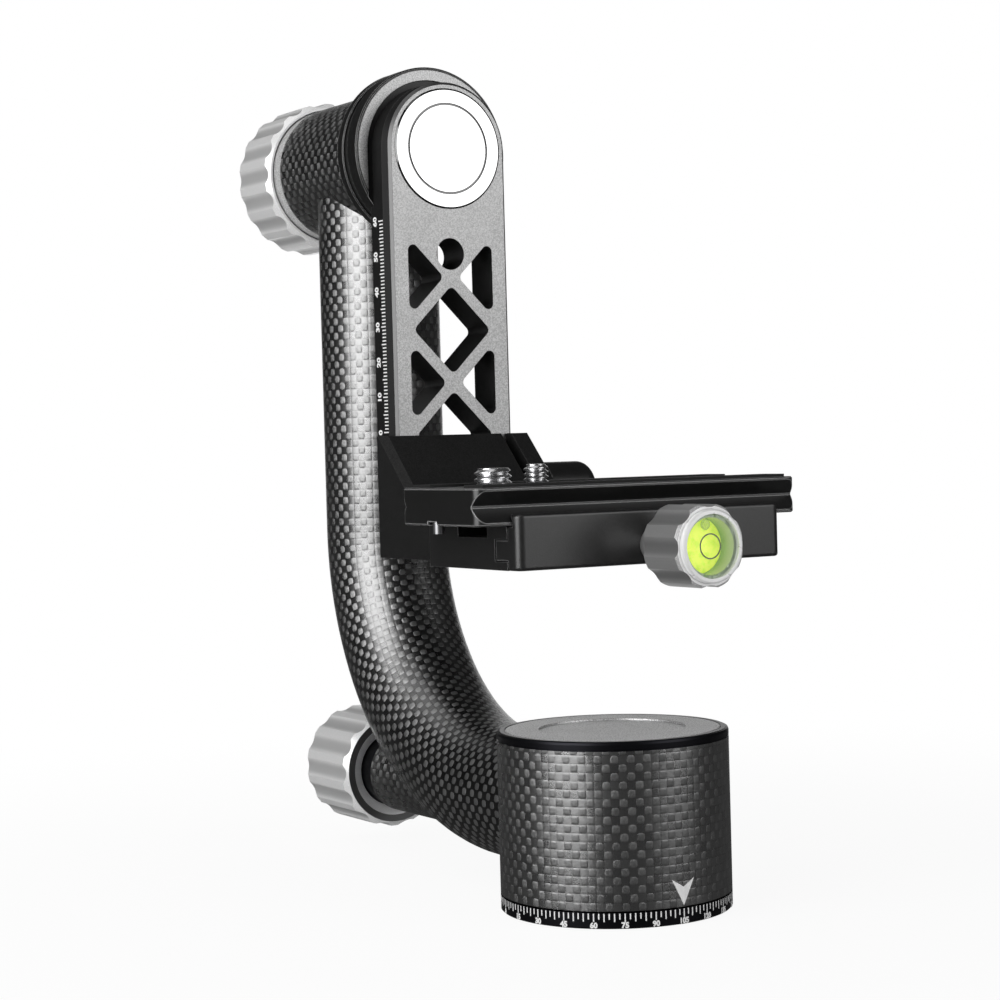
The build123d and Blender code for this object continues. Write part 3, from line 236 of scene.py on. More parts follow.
class Graph:
    """The node graph of one material or of the world.

    Args:
        tree: The node tree, which is emptied first.
    """

    def __init__(self, tree: bpy.types.NodeTree) -> None:
        """Keep the tree and empty it."""
        self.tree = tree
        tree.nodes.clear()

    def node(
        self, kind: str, settings: Mapping[str, Any] | None = None,
        inputs: Mapping[int | str, Value] | None = None,
    ) -> Made:
        """Make one node.

        Args:
            kind: Its type.
            settings: Its own settings, such as a Math node's operation, set before its sockets.
            inputs: The values or links of its sockets.

        Returns:
            Its outputs.
        """
        made = self.tree.nodes.new(kind)
        for name, value in (settings or {}).items():
            setattr(made, name, value)
        for key, value in (inputs or {}).items():
            socket = find_socket(made.inputs, key)
            if isinstance(value, Sock):
                self.tree.links.new(value.socket, socket)
            elif socket.type == "RGBA" and len(value) == 3:
                socket.default_value = (*value, 1.0)
            else:
                socket.default_value = value
        return Made(self, made)

    def place(self) -> Sock:
        """The point in the part's frame, in millimetres."""
        return self.node("ShaderNodeTexCoord")["Object"] * (1.0 / MM)

    def forward(self) -> Sock:
        """How squarely the surface faces forwards, towards -Y: 1 for a face, 0 for a side."""
        return -self.split(self.node("ShaderNodeTexCoord")["Normal"])[1]

    def split(self, vector: Sock) -> tuple[Sock, Sock, Sock]:
        """The three numbers of a vector."""
        parts = self.node("ShaderNodeSeparateXYZ", {}, {0: vector})
        return parts[0], parts[1], parts[2]

    def join(self, x: Value, y: Value, z: Value) -> Sock:
        """A vector from three numbers."""
        return self.node("ShaderNodeCombineXYZ", {}, {0: x, 1: y, 2: z})[0]

    def radius(self, axis_z: float) -> Sock:
        """The distance in mm from an axis that runs along Y at a height."""
        x, _, z = self.split(self.place())
        return x.hypot(z - axis_z)

    def mix(self, factor: Value, first: Value, second: Value) -> Sock:
        """A colour between two colours.

        Args:
            factor: How far it is from the first to the second.
            first: The first colour.
            second: The second colour.

        Returns:
            The colour.
        """
        return self.node(
            "ShaderNodeMix", {"data_type": "RGBA"},
            {"Factor_Float": factor, "A_Color": first, "B_Color": second},
        )["Result_Color"]

    def shade(self, factor: Value, tone: float, low: float, high: float) -> Sock:
        """A grey that runs from one share of a tone to another."""
        return self.mix(factor, grey(tone * low), grey(tone * high))

    def noise(self, at: Sock, per_mm: float, detail: float = 2.0, rough: float = 0.5) -> Sock:
        """Noise between 0 and 1.

        Args:
            at: Where it is read, in mm.
            per_mm: Cells per millimetre.
            detail: Finer layers in it.
            rough: How strong the finer layers are.

        Returns:
            The noise.
        """
        return self.node(
            "ShaderNodeTexNoise", {}, {"Vector": at, "Scale": per_mm, "Detail": detail, "Roughness": rough},
        )[0]

    def mottle(self, speck: Sock, cloud: Sock, low: float, high: float) -> Sock:
        """Specks that rise between two levels of their noise, over wide clouds."""
        return speck.step(low, high) * (1.0 - CLOUD_SHARE) + cloud * CLOUD_SHARE

    def bump(self, height: Sock, strength: float, depth_mm: float, normal: Sock | None = None) -> Sock:
        """A bumped normal.

        Args:
            height: The height, between 0 and 1.
            strength: Strength of the bump.
            depth_mm: What a height of 1 stands for.
            normal: The normal that it starts from, if it isn't the surface's own.

        Returns:
            The normal.
        """
        inputs: dict[int | str, Value] = {"Height": height, "Strength": strength, "Distance": depth_mm * MM}
        if normal is not None:
            inputs["Normal"] = normal
        return self.node("ShaderNodeBump", {}, inputs)[0]

    def rounded(self, radius_mm: float) -> Sock:
        """The normal of the surface with its edges rounded off."""
        return self.node("ShaderNodeBevel", {"samples": BEVEL_SAMPLES}, {"Radius": radius_mm * MM})[0]

    def edge_wear(self, rounded: Sock) -> Sock:
        """A mask that is 1 along the edges, where wear and a painted highlight go."""
        normal = self.node("ShaderNodeNewGeometry")["Normal"]
        return (1.0 - rounded.vec("DOT_PRODUCT", normal, out=1)).step(*EDGE_WEAR_AND_LIGHT)

    def grazing(self, blend: float) -> Sock:
        """A mask that grows where the surface is seen edge on."""
        return self.node("ShaderNodeLayerWeight", {}, {"Blend": blend})["Facing"]

    def rays(self) -> tuple[Sock, Sock]:
        """Masks of the camera's own rays, and of those that come off or through a shiny piece."""
        ray = self.node("ShaderNodeLightPath")
        return ray["Is Camera Ray"], (ray["Is Glossy Ray"] + ray["Is Transmission Ray"]).op("MINIMUM", 1.0)

    def surface(self, inputs: Mapping[int | str, Value]) -> None:
        """End the graph in a Principled shader with those sockets."""
        shader = self.node("ShaderNodeBsdfPrincipled", {}, inputs)[0]
        self.node("ShaderNodeOutputMaterial", {}, {"Surface": shader})


def grey(level: float) -> tuple[float, float, float]:
    """A neutral colour."""
    return (level, level, level)


NO_LIGHT, WHITE = grey(0.0), grey(1.0)


# ---- finishes ------------------------------------------------------------------------------------
@dataclass(frozen=True)
class Finish:
    """A finish that makes one material.

    Attributes:
        name: The material's name.
    """

    name: str

    def material(self) -> bpy.types.Material:
        """The material, made once.

        Returns:
            The material.
        """
        known = bpy.data.materials.get(self.name)
        if known is not None:
            return known
        made = bpy.data.materials.new(self.name)
        made.use_nodes = True
        self.paint(Graph(made.node_tree))
        return made

    def paint(self, g: Graph) -> None:
        """Fill the material's graph."""
        raise NotImplementedError


class WeavePath(Enum):
    """The centre line that a carbon tube's weave follows."""

    SLEEVE = "round the pan axis"
    ARM = "down the arm, round its bend and forwards"
    HUB = "round the tilt axis"
    STUB = "round the pan lock's axis"


@dataclass(frozen=True)
class CarbonWeave(Finish):
    """Plain-woven carbon fibre under a satin lacquer.

    Attributes:
        path: The tube's centre line.
        around: Tows round the tube, an even number.
        cell: Length of one cell along the tube, in mm.
        bend_y: The bend's centre, in Y.
        bend_z: The bend's centre, in Z.
        bend: The bend's radius.
        axis_z: Height of a straight tube's axis.
        narrow: How much narrower an axial tow's oval is than its cell.
        oval: Power of that oval's outline, 2 for an ellipse.
        outline: Where the oval has faded out and where it is whole.
        crown: How far the normal leans at the long edges of an axial tow.
        dive: How far it leans where an axial tow goes under.
        spread: How far the fibres of an axial tow spread the light round the tube.
        tilt: How far that fan is turned to one side.
        lie: How far the fibres of a hoop tow spread the light along the tube.
        plunge: How far a hoop tow leans where it goes under.
        fibres: Ridges across one tow.
        strands: Cells of strand noise in one weave cell.
        layers: How far the noise of the upper tows is from that of the lower ones.
        axial_tone: Grey level of an axial tow.
        hoop_tone: Grey level of a hoop tow.
        lift: How much brighter axial tows are painted where the arm runs forwards, a painted highlight.
        drop: How much darker hoop tows are painted there, painted shade.
        share: Share of its tone that a tow always has.
        strand_share: What the strands add to that.
        cell_share: What chance adds to it from cell to cell.
        rim_loss: How much darker the rim of an axial tow is.
        seam: Where the dark edge of a hoop tow starts, from its middle at 0 to its end at 1.
        seam_loss: How dark that edge is.
        rough: Roughness of a hoop tow.
        axial_rough: What an axial tow adds to it.
        cell_rough: What chance adds to it from cell to cell.
    """

    path: WeavePath = WeavePath.SLEEVE
    around: int = 92
    cell: float = 2.15
    bend_y: float = 47.8
    bend_z: float = 96.0
    bend: float = 72.0
    axis_z: float = TILT_Z
    narrow: float = 1.04
    oval: float = 2.8
    outline: tuple[float, float] = (1.2, 0.74)
    crown: float = 0.38
    dive: float = 0.28
    spread: float = 0.40
    tilt: float = 0.24
    lie: float = 0.12
    plunge: float = 0.05
    fibres: float = 14.0
    strands: float = 9.0
    layers: float = 5.0
    axial_tone: float = 0.42
    hoop_tone: float = 0.30
    lift: float = 0.4
    drop: float = 0.6
    share: float = 0.78
    strand_share: float = 0.3
    cell_share: float = 0.14
    rim_loss: float = 0.14
    seam: float = 0.80
    seam_loss: float = 0.15
    rough: float = 0.25
    axial_rough: float = 0.11
    cell_rough: float = 0.06

    def follow(self, g: Graph) -> tuple[Sock, Sock, Sock]:
        """Places on the tube.

        Args:
            g: The material's graph.

        Returns:
            The angle round the tube, the length along it and its direction.
        """
        x, y, z = g.split(g.place())
        if self.path is WeavePath.SLEEVE:
            return x.op("ARCTAN2", -y), z, g.join(0.0, 0.0, 1.0)
        if self.path is not WeavePath.ARM:
            return (z - self.axis_z).op("ARCTAN2", -x), y, g.join(0.0, 1.0, 0.0)
        across, up = y - self.bend_y, z - self.bend_z
        out, down = across.op("MAXIMUM", 0.0), -up.op("MINIMUM", 0.0)
        reach = out.hypot(down)
        along = out.op("ARCTAN2", down) * self.bend + up.op("MAXIMUM", 0.0) + across.op("MINIMUM", 0.0)
        return x.op("ARCTAN2", self.bend - reach), along, g.join(0.0, down / reach, out / reach)

    def tone(self, g: Graph, axial: Sock, hoop: Sock, direction: Sock) -> Sock:
        """Grey level of the tows, with a painted highlight on the axial tows and painted shade on the hoop
        tows where the arm bends.

        Args:
            g: The material's graph.
            axial: Mask of the axial tows.
            hoop: Mask of the hoop tows.
            direction: The tube's direction.

        Returns:
            The level.
        """
        axial_level, hoop_level = axial * self.axial_tone, hoop * self.hoop_tone
        # where the arm turns forwards: painted highlight on axial tows, painted shade on hoop tows
        if self.path is WeavePath.ARM:
            turned = 1.0 - g.split(direction)[2]
            axial_level = axial_level * (turned * self.lift + 1.0)
            hoop_level = hoop_level * (1.0 - turned.op("MAXIMUM", 0.0).op("SQRT") * self.drop)
        return axial_level + hoop_level

    def lean(self, g: Graph, direction: Sock, across: Sock, along: Sock) -> Sock:
        """The surface's normal, leant with the tows.

        Args:
            g: The material's graph.
            direction: The tube's direction.
            across: How far it leans round the tube.
            along: How far it leans along the tube.

        Returns:
            The normal.
        """
        if self.path in {WeavePath.HUB, WeavePath.STUB}:
            across, along = along, -across
        space = {"vector_type": "VECTOR", "convert_from": "OBJECT", "convert_to": "WORLD"}
        run = g.node("ShaderNodeVectorTransform", space, {0: direction})[0].vec("NORMALIZE")
        normal = g.node("ShaderNodeNewGeometry")["Normal"]
        side = run.vec("CROSS_PRODUCT", normal).vec("NORMALIZE")
        return (normal + side * across + run * along).vec("NORMALIZE")

    def paint(self, g: Graph) -> None:
        """Oval axial tows that come up between hoop tows, with fibre ridges that spread the light.

        Args:
            g: The material's graph.
        """
        angle, length, direction = self.follow(g)
        a, b = angle * (self.around / TURN), length / self.cell
        tow, row = a.op("FLOOR"), b.op("FLOOR")
        over = 1.0 - (tow + row).op("FLOORED_MODULO", 2.0)
        u, v = a.within(), b.within()
        oval = (abs(u) * self.narrow).op("POWER", self.oval) + abs(v).op("POWER", self.oval)
        axial = over * oval.step(*self.outline)
        hoop = 1.0 - axial
        rim = axial * hoop * 4.0
        fan = (a * self.fibres).within() + self.tilt
        fan = fan * abs(fan)
        ridge = (b * self.fibres).within()
        u_edge, v_end = u * u * u, v * v * v
        across = axial * (u_edge * self.crown + fan * self.spread) + hoop * u_edge * self.plunge
        along = axial * v_end * self.dive + hoop * (ridge * self.lie + v_end * self.plunge)
        strand = g.noise(g.join(a * self.strands, b * self.strands, over * self.layers), per_mm=0.5)
        cell = {"Vector": g.join(tow, row, 0.0)}
        chance = g.node("ShaderNodeTexWhiteNoise", {"noise_dimensions": "2D"}, cell)["Value"]
        seam = (u * u).op("MAXIMUM", v * v).step(self.seam, 1.0) * hoop
        level = self.tone(g, axial, hoop, direction)
        level = level * (self.share + self.strand_share * strand + self.cell_share * chance)
        level = level * (1.0 - self.rim_loss * rim) * (1.0 - self.seam_loss * seam)
        g.surface({
            "Base Color": g.mix(level, NO_LIGHT, WHITE),
            "Metallic": 1.0,
            "Roughness": self.rough + self.cell_rough * chance + axial * self.axial_rough,
            "Normal": self.lean(g, direction, across, along),
        })


@dataclass(frozen=True)
class Anodised(Finish):
    """Anodised aluminium: a fine blasted grain, and edges that catch the light and are painted lighter,
    partly wear and partly painted highlight.

    Attributes:
        tone: Grey level of the colour.
        metal: How metallic it is.
        rough: Its roughness.
        grain: Strength of the blasted grain.
        bevel: Radius of the broken edges, in mm.
        rub: Grey level along the edges, partly wear and partly painted highlight.
        ior: Refractive index of its surface, higher for more gloss.
        worn: How far the edges take that grey.
        smoothed: How much less rough the edges are.
    """

    tone: float = 0.008
    metal: float = 0.0
    rough: float = 0.42
    grain: float = 0.35
    bevel: float = 0.22
    rub: float = 0.10
    ior: float = 1.5
    worn: float = 0.8
    smoothed: float = 0.08

    def paint(self, g: Graph) -> None:
        """Grain, broken edges that are partly worn and partly painted as a highlight, and a slight unevenness
        of the dye.

        Args:
            g: The material's graph.
        """
        at = g.place()
        speck = g.noise(at, per_mm=3.2, rough=0.6)
        cloud = g.noise(at, per_mm=0.09)
        rounded = g.rounded(self.bevel)
        wear_and_light = g.edge_wear(rounded)
        dye = g.shade(g.mottle(speck, cloud, low=0.34, high=0.66), self.tone, low=0.5, high=1.5)
        g.surface({
            # edges take a lighter grey: partly wear, partly painted highlight
            "Base Color": g.mix(wear_and_light * self.worn, dye, grey(self.rub)),
            "Roughness": self.rough + speck.swing(0.12) - wear_and_light * self.smoothed,
            "Metallic": self.metal, "IOR": self.ior,
            "Normal": g.bump(speck, self.grain, depth_mm=0.05, normal=rounded),
        })


@dataclass(frozen=True)
class TwoTone(Finish):
    """Black anodised metal whose front was cut bright afterwards.

    Attributes:
        depth: The bright cut reaches back to this Y, in mm.
        face: Grey level of the bright front.
        dark: Grey level of the sides and windows.
        blur: Half the width of the cut's end, in mm.
        facing: How squarely a surface faces forwards where the cut starts and is whole.
        sloping: How squarely it does where the painted shade of a slope starts and is whole.
        dull: Share of the bright level that a slope keeps under its painted shade.
        rub: Grey level along the black edges, partly wear and partly painted highlight.
        worn: How far the black edges take it.
        metal: How metallic the bright front is.
        rough: Its roughness.
    """

    depth: float = 77.6
    face: float = 0.54
    dark: float = 0.011
    blur: float = 0.1
    facing: tuple[float, float] = (0.45, 0.60)
    sloping: tuple[float, float] = (0.95, 0.80)
    dull: float = 0.35
    rub: float = 0.12
    worn: float = 0.6
    metal: float = 0.9
    rough: float = 0.42

    def paint(self, g: Graph) -> None:
        """Bright where the surface faces forward within the cut, black elsewhere, with painted shade on the
        slopes and edges that are partly worn and partly painted highlight.

        Args:
            g: The material's graph.
        """
        at = g.place()
        forward = g.forward()
        cut = g.split(at)[1].step(self.depth + self.blur, self.depth - self.blur)
        front = forward.step(*self.facing) * cut
        speck = g.noise(at, per_mm=2.6, detail=3.0, rough=0.7)
        cloud = g.noise(at, per_mm=0.06)
        rounded = g.rounded(0.15)
        sheen = g.shade(g.mottle(speck, cloud, low=0.36, high=0.64), self.face, low=0.66, high=1.3)
        # slopes that face only partly forwards are painted darker: painted shade on the cut's slopes
        sheen = g.mix(forward.step(*self.sloping), sheen, grey(self.face * self.dull))
        black = g.shade(speck, self.dark, low=0.7, high=1.4)
        # black edges take a lighter grey: partly wear, partly painted highlight
        black = g.mix(g.edge_wear(rounded) * self.worn, black, grey(self.rub))
        g.surface({
            "Base Color": g.mix(front, black, sheen),
            "Metallic": front * self.metal,
            "Roughness": self.rough + speck.swing(0.15), "IOR": 1.28,
            "Normal": g.bump(speck, strength=0.35, depth_mm=0.02, normal=rounded),
        })


@dataclass(frozen=True)
class SilverGrip(Finish):
    """Satin silver anodised grip with a bright turned face.

    Attributes:
        axis_z: Height of the knob's axis.
        tone: Grey level of the satin body.
        metal: How metallic the body is.
        bright: Grey level of the turned face.
        lip: Grey level of the flat rim inside it.
        lip_metal: What the flat rim adds to the body's metal, as a share of it.
        face_metal: How metallic the turned face is.
        grip: Radius of the grip, in mm.
        flute: Depth of its flutes, in mm.
        turned: How squarely the turned face faces forwards, from where it starts to where it is whole.
        flat: How squarely a surface does where the turned face starts to end and has ended.
        square: How squarely the flat rim does, from where it starts to where it is whole.
        sideways: How squarely a flute does, from where it starts to where it is whole.
        worn: How far the edges take a brighter tone, partly wear and partly painted highlight.
        shadow: How far the bottom of a flute takes a darker tone.
        rough: Its roughness.
        smoothed: How much less rough the turned face is.
    """

    axis_z: float = TILT_Z
    tone: float = 0.94
    metal: float = 0.45
    bright: float = 0.93
    lip: float = 0.90
    lip_metal: float = -0.7
    face_metal: float = 0.25
    grip: float = 22.8
    flute: float = 0.9
    turned: tuple[float, float] = (0.50, 0.62)
    flat: tuple[float, float] = (0.92, 0.84)
    square: tuple[float, float] = (0.90, 0.96)
    sideways: tuple[float, float] = (0.3, 0.1)
    worn: float = 0.5
    shadow: float = 0.8
    rough: float = 0.36
    smoothed: float = 0.1

    def paint(self, g: Graph) -> None:
        """Fine blasting on the body, concentric turning on the front.

        Args:
            g: The material's graph.
        """
        radius, forward = g.radius(self.axis_z), g.forward()
        front = forward.step(*self.turned) * forward.step(*self.flat)
        lip = forward.step(*self.square)
        valley = radius.step(self.grip - 0.1, self.grip - self.flute) * abs(forward).step(*self.sideways)
        speck = g.noise(g.place(), per_mm=4.0, rough=0.6)
        cuts = g.noise(g.join(radius, 0.0, 0.0), per_mm=9.0, detail=1.0)
        rounded = g.rounded(0.18)
        body = g.shade(speck, self.tone, low=0.88, high=1.12)
        # brighter edges: partly wear, partly painted highlight
        body = g.mix(g.edge_wear(rounded) * self.worn, body, grey(min(1.0, self.tone * 1.4)))
        body = g.mix(valley * self.shadow, body, grey(self.tone * 0.55))
        body = g.mix(lip, body, grey(self.lip))
        height = speck * (1.0 - front) + cuts * front
        g.surface({
            "Base Color": g.mix(front, body, grey(self.bright)),
            "Metallic": self.metal * (1.0 + lip * self.lip_metal) + front * (self.face_metal - self.metal),
            "Roughness": self.rough + speck.swing(0.1) - front * self.smoothed,
            "Normal": g.bump(height, strength=0.25, depth_mm=0.012, normal=rounded),
        })


@dataclass(frozen=True)
class Polished(Finish):
    """Polished or plated metal.

    Attributes:
        tone: Colour of the metal.
        rough: Its roughness.
        bevel: Radius of its broken edges, in mm.
        metal: How metallic it is.
        rings: Radii round the axis where dark lines of painted shade mark the grooves, in mm.
        ring_edge: How far from its middle such a line of painted shade starts to end and has ended, in mm.
        ring_tone: Grey level of that painted shade.
        handled: Share of the colour that handling leaves.
        axis_z: Height of that axis.
    """

    tone: tuple[float, float, float] = (0.93, 0.93, 0.93)
    rough: float = 0.14
    bevel: float = 0.12
    metal: float = 1.0
    rings: tuple[float, ...] = ()
    ring_edge: tuple[float, float] = (0.26, 0.42)
    ring_tone: float = 0.14
    handled: float = 0.95
    axis_z: float = TILT_Z

    def paint(self, g: Graph) -> None:
        """A bright metal with faint handling marks and rings of painted shade at its grooves.

        Args:
            g: The material's graph.
        """
        at = g.place()
        # dark rings at these radii are painted shade of the cap's grooves
        clear_of_groove_shade: Value = 1.0
        for ring in self.rings:
            clear_of_groove_shade = abs(g.radius(self.axis_z) - ring).step(*self.ring_edge) * clear_of_groove_shade
        haze = g.noise(at, per_mm=0.35, detail=3.0)
        scratch = g.noise(at, per_mm=6.0, detail=1.0)
        worn = g.mix(clear_of_groove_shade, grey(self.ring_tone), tuple(v * self.handled for v in self.tone))
        g.surface({
            "Base Color": g.mix(haze.step(0.35, 0.7) * clear_of_groove_shade, worn, self.tone),
            "Metallic": self.metal,
            "Roughness": self.rough + haze * 0.04,
            "Normal": g.bump(scratch, strength=0.05, depth_mm=0.006, normal=g.rounded(self.bevel)),
        })


@dataclass(frozen=True)
class Turned(Finish):
    """Plain machined metal with cutter marks.

    Attributes:
        tone: Colour of the metal.
        rough: Its roughness.
        stained: Share of the colour that a stain leaves.
        ridges: What the cutter's lines add to the roughness.
    """

    tone: tuple[float, float, float] = (0.55, 0.55, 0.56)
    rough: float = 0.35
    stained: float = 0.75
    ridges: float = 0.12

    def paint(self, g: Graph) -> None:
        """Cutter lines every few tenths of a millimetre.

        Args:
            g: The material's graph.
        """
        at = g.place()
        x, y, z = g.split(at)
        lines = g.noise(g.join(x.hypot(y), z * 2.0, x.hypot(z)), per_mm=3.0, detail=1.0)
        stain = tuple(v * self.stained for v in self.tone)
        g.surface({
            "Base Color": g.mix(g.noise(at, per_mm=0.2), stain, self.tone),
            "Metallic": 1.0,
            "Roughness": self.rough + lines * self.ridges,
            "Normal": g.bump(lines, strength=0.25, depth_mm=0.02, normal=g.rounded(0.15)),
        })


@dataclass(frozen=True)
class Rubber(Finish):
    """Dark rubber or hard polymer with a fine moulded texture.

    Attributes:
        tone: Grey level.
        ribs: Ribs per millimetre across Y, 0 for none.
        rough: Its least roughness.
        matt: What the moulded grain adds to that.
    """

    tone: float = 0.012
    ribs: float = 0.0
    rough: float = 0.62
    matt: float = 0.2

    def paint(self, g: Graph) -> None:
        """Moulded grain, with ribs where they are asked for.

        Args:
            g: The material's graph.
        """
        at = g.place()
        grain = g.noise(at, per_mm=3.5, detail=3.0, rough=0.7)
        height = grain
        if self.ribs:
            wave = (g.split(at)[1] * (self.ribs * TURN)).op("SINE")
            height = grain * 0.3 + wave * 0.35 + 0.35
        g.surface({
            "Base Color": g.shade(grain, self.tone, low=0.7, high=1.5),
            "Roughness": self.rough + grain * self.matt,
            "Normal": g.bump(height, strength=0.5, depth_mm=0.06),
        })


@dataclass(frozen=True)
class Ink(Finish):
    """Printed marking ink.

    Attributes:
        tone: Grey level of the print.
    """

    tone: float = 0.86

    def paint(self, g: Graph) -> None:
        """A flat white with a little unevenness of the print.

        Args:
            g: The material's graph.
        """
        patch = g.noise(g.place(), per_mm=4.0)
        g.surface({
            "Base Color": g.shade(patch, self.tone, low=0.88, high=1.0),
            "Roughness": 0.5 + patch * 0.1,
        })


@dataclass(frozen=True)
class VialLiquid(Finish):
    """The lime-green cup of the round spirit level.

    Attributes:
        axis_z: Height of the cup's axis.
        floor_y: The cup floor's place in Y.
        deep: How far the wall reaches before the floor, in mm.
        wall: Radii where the wall starts and is whole, in mm.
        pool: Radii between which the floor darkens, in mm.
        pool_share: Share of that in the floor's colour.
        pale: Colour of the floor's bright patches.
        lime: Colour of its deep ones.
        low: Colour of the wall beside the floor.
        high: Colour of the wall's front.
        glow: Strength of the painted glow that the floor gives off, though it is no lamp.
    """

    axis_z: float = LEVEL_Z
    floor_y: float = -39.7
    deep: float = 3.8
    wall: tuple[float, float] = (6.85, 6.98)
    pool: tuple[float, float] = (1.0, 7.5)
    pool_share: float = 0.4
    pale: tuple[float, float, float] = (0.82, 0.94, 0.10)
    lime: tuple[float, float, float] = (0.52, 0.70, 0.01)
    low: tuple[float, float, float] = (0.30, 0.50, 0.20)
    high: tuple[float, float, float] = (0.50, 0.58, 0.46)
    glow: float = 0.64

    def paint(self, g: Graph) -> None:
        """Lime on the floor, clear and paler up the wall.

        Args:
            g: The material's graph.
        """
        at, radius = g.place(), g.radius(self.axis_z)
        wall = radius.step(*self.wall)
        cloud = g.noise(at, per_mm=0.5)
        patch = cloud.step(0.38, 0.66) * (1.0 - self.pool_share) + radius.step(*self.pool) * self.pool_share
        floor = g.mix(patch, self.pale, self.lime)
        side = g.mix(g.split(at)[1].step(self.floor_y, self.floor_y - self.deep), self.low, self.high)
        g.surface({
            "Base Color": g.mix(wall, floor, side), "Roughness": 0.25 + cloud * 0.1,
            # painted glow: the cup's floor gives off light though it is no lamp
            "Emission Color": g.mix(wall, floor, NO_LIGHT), "Emission Strength": self.glow,
        })


@dataclass(frozen=True)
class Clear(Finish):
    """A clear cover that mostly shows what lies behind it.

    Attributes:
        tint: Its colour.
        cover: How much of it is seen.
        rim_cover: How much more is seen edge on.
        smeared: How much more is seen of a smear.
    """

    tint: tuple[float, float, float] = (0.85, 0.95, 0.80)
    cover: float = 0.015
    rim_cover: float = 0.3
    smeared: float = 0.03

    def paint(self, g: Graph) -> None:
        """Glossy and nearly see-through, denser towards grazing views.

        Args:
            g: The material's graph.
        """
        rim, smear = g.grazing(0.35), g.noise(g.place(), per_mm=0.4)
        g.surface({
            "Base Color": self.tint, "Roughness": 0.04 + smear * 0.04,
            "Alpha": (self.cover + rim * self.rim_cover + smear * self.smeared).op("MINIMUM", 1.0),
        })


@dataclass(frozen=True)
class DarkMark(Finish):
    """The level's printed ring."""

    def paint(self, g: Graph) -> None:
        """A dark green-black line."""
        patch = g.noise(g.place(), per_mm=3.0, detail=1.0)
        g.surface({"Base Color": g.mix(patch, (0.01, 0.02, 0.01), (0.03, 0.05, 0.02)), "Roughness": 0.4})


@dataclass(frozen=True)
class Bubble(Finish):
    """The bubble of the level.

    Attributes:
        middle: Colour of its middle.
        rim: Colour of its rim.
    """

    middle: tuple[float, float, float] = (0.62, 0.85, 0.25)
    rim: tuple[float, float, float] = (0.15, 0.35, 0.03)

    def paint(self, g: Graph) -> None:
        """Pale in its middle, green round its rim.

        Args:
            g: The material's graph.
        """
        edge = g.grazing(0.5)
        g.surface({
            # darker green rim and paler middle, by how squarely they are seen, are painted light and shade of
            # its refraction
            "Base Color": g.mix(edge.step(0.2, 0.8), self.middle, self.rim),
            "Roughness": 0.08, "Alpha": edge * 0.6 + 0.25,
        })


@dataclass(frozen=True)
class FloorPaper(Finish):
    """Pale paper that keeps the head's shadow and fades into the backdrop.

    Attributes:
        tone: Grey level of the paper.
        dim: What shiny surfaces see of the floor in front of the head.
        lit: Share of plain white in what the camera sees of it at the head's foot.
        fade: Distances from the pan axis between which the rest turns white, in mm.
        behind: Distances behind the pan axis between which the backdrop's white starts, in mm.
    """

    tone: float = 0.84
    dim: float = 0.058
    lit: float = 0.92
    fade: tuple[float, float] = (90.0, 420.0)
    behind: tuple[float, float] = (60.0, 200.0)

    def paint(self, g: Graph) -> None:
        """Paper with a shadow for the lamps, and white for the camera and for shiny pieces.

        Args:
            g: The material's graph.
        """
        camera, shiny = g.rays()
        at = g.place()
        x, y, _ = g.split(at)
        reach = x.hypot(y)
        toward = at.vec("DOT_PRODUCT", BACKDROP, out=1)
        back = (toward / reach).step(*BACKDROP_EDGE) * toward.step(*self.behind)
        level = camera + shiny * (self.dim + back * (1.0 - self.dim))
        paper = g.node("ShaderNodeBsdfDiffuse", {}, {"Color": grey(self.tone)})[0]
        white = g.node("ShaderNodeEmission", {}, {"Color": g.mix(level, NO_LIGHT, WHITE), "Strength": 1.0})[0]
        share = camera * (self.lit + reach.step(*self.fade) * (1.0 - self.lit)) + shiny
        mixed = g.node("ShaderNodeMixShader", {}, {0: share, 1: paper, 2: white})[0]
        g.node("ShaderNodeOutputMaterial", {}, {"Surface": mixed})


# ---- shared tools --------------------------------------------------------------------------------
def stand(name: str, data: bpy.types.ID) -> bpy.types.Object:
    """Put a new object into the scene.

    Args:
        name: Its name.
        data: Its mesh, lamp or camera.

    Returns:
        The object.
    """
    made = bpy.data.objects.new(name, data)
    bpy.context.scene.collection.objects.link(made)
    return made


def aim(made: bpy.types.Object, at: Point, right: Vector, up: Vector, back: Vector) -> None:
    """Put an object at a place in mm, turned to three directions at right angles."""
    turn = Matrix((right, up, back)).transposed().to_4x4()
    made.matrix_world = Matrix.Translation(Vector(at) * MM) @ turn


def on_cylinder(radius: float, angle: float, height: float) -> Placer:
    """A plane wrapped round the pan axis.

    Args:
        radius: The cylinder's radius, in mm.
        angle: Where the plane's origin lies, in degrees from +X.
        height: Height of the plane's origin.

    Returns:
        A function from plane coordinates to a point.
    """
    def place(u: float, v: float, w: float) -> Point:
        """The point at those coordinates."""
        turn = math.radians(angle) + u / radius
        return ((radius + w) * math.cos(turn), (radius + w) * math.sin(turn), height + v)
    return place


def on_side(x: float, y: float, z: float) -> Placer:
    """A plane that faces -X, with its origin there, its first axis up and its second backwards."""
    return lambda u, v, w: (x - w, y + v, z + u)


def about_y(x: float, y: float, z: float) -> Placer:
    """A plane across an axis along Y, with its origin there and its third axis backwards."""
    return lambda u, v, w: (x + u, y + w, z + v)


def about_z(x: float, y: float) -> Placer:
    """A plane across an upright axis that passes there."""
    return lambda u, v, w: (x + u, y + v, w)


def lathe(profile: Outline, steps: int) -> tuple[list[Point], list[Face]]:
    """A closed solid of revolution.

    Args:
        profile: Radius and height of its closed outline.
        steps: Steps round the axis.

    Returns:
        Its points and faces.
    """
    n = len(profile)
    points: list[Point] = []
    faces: list[Face] = []
    for i in range(steps):
        turn = TURN * i / steps
        j = (i + 1) % steps
        points += [(r * math.cos(turn), r * math.sin(turn), h) for r, h in profile]
        faces += [(i * n + k, j * n + k, j * n + (k + 1) % n, i * n + (k + 1) % n) for k in range(n)]
    return points, faces


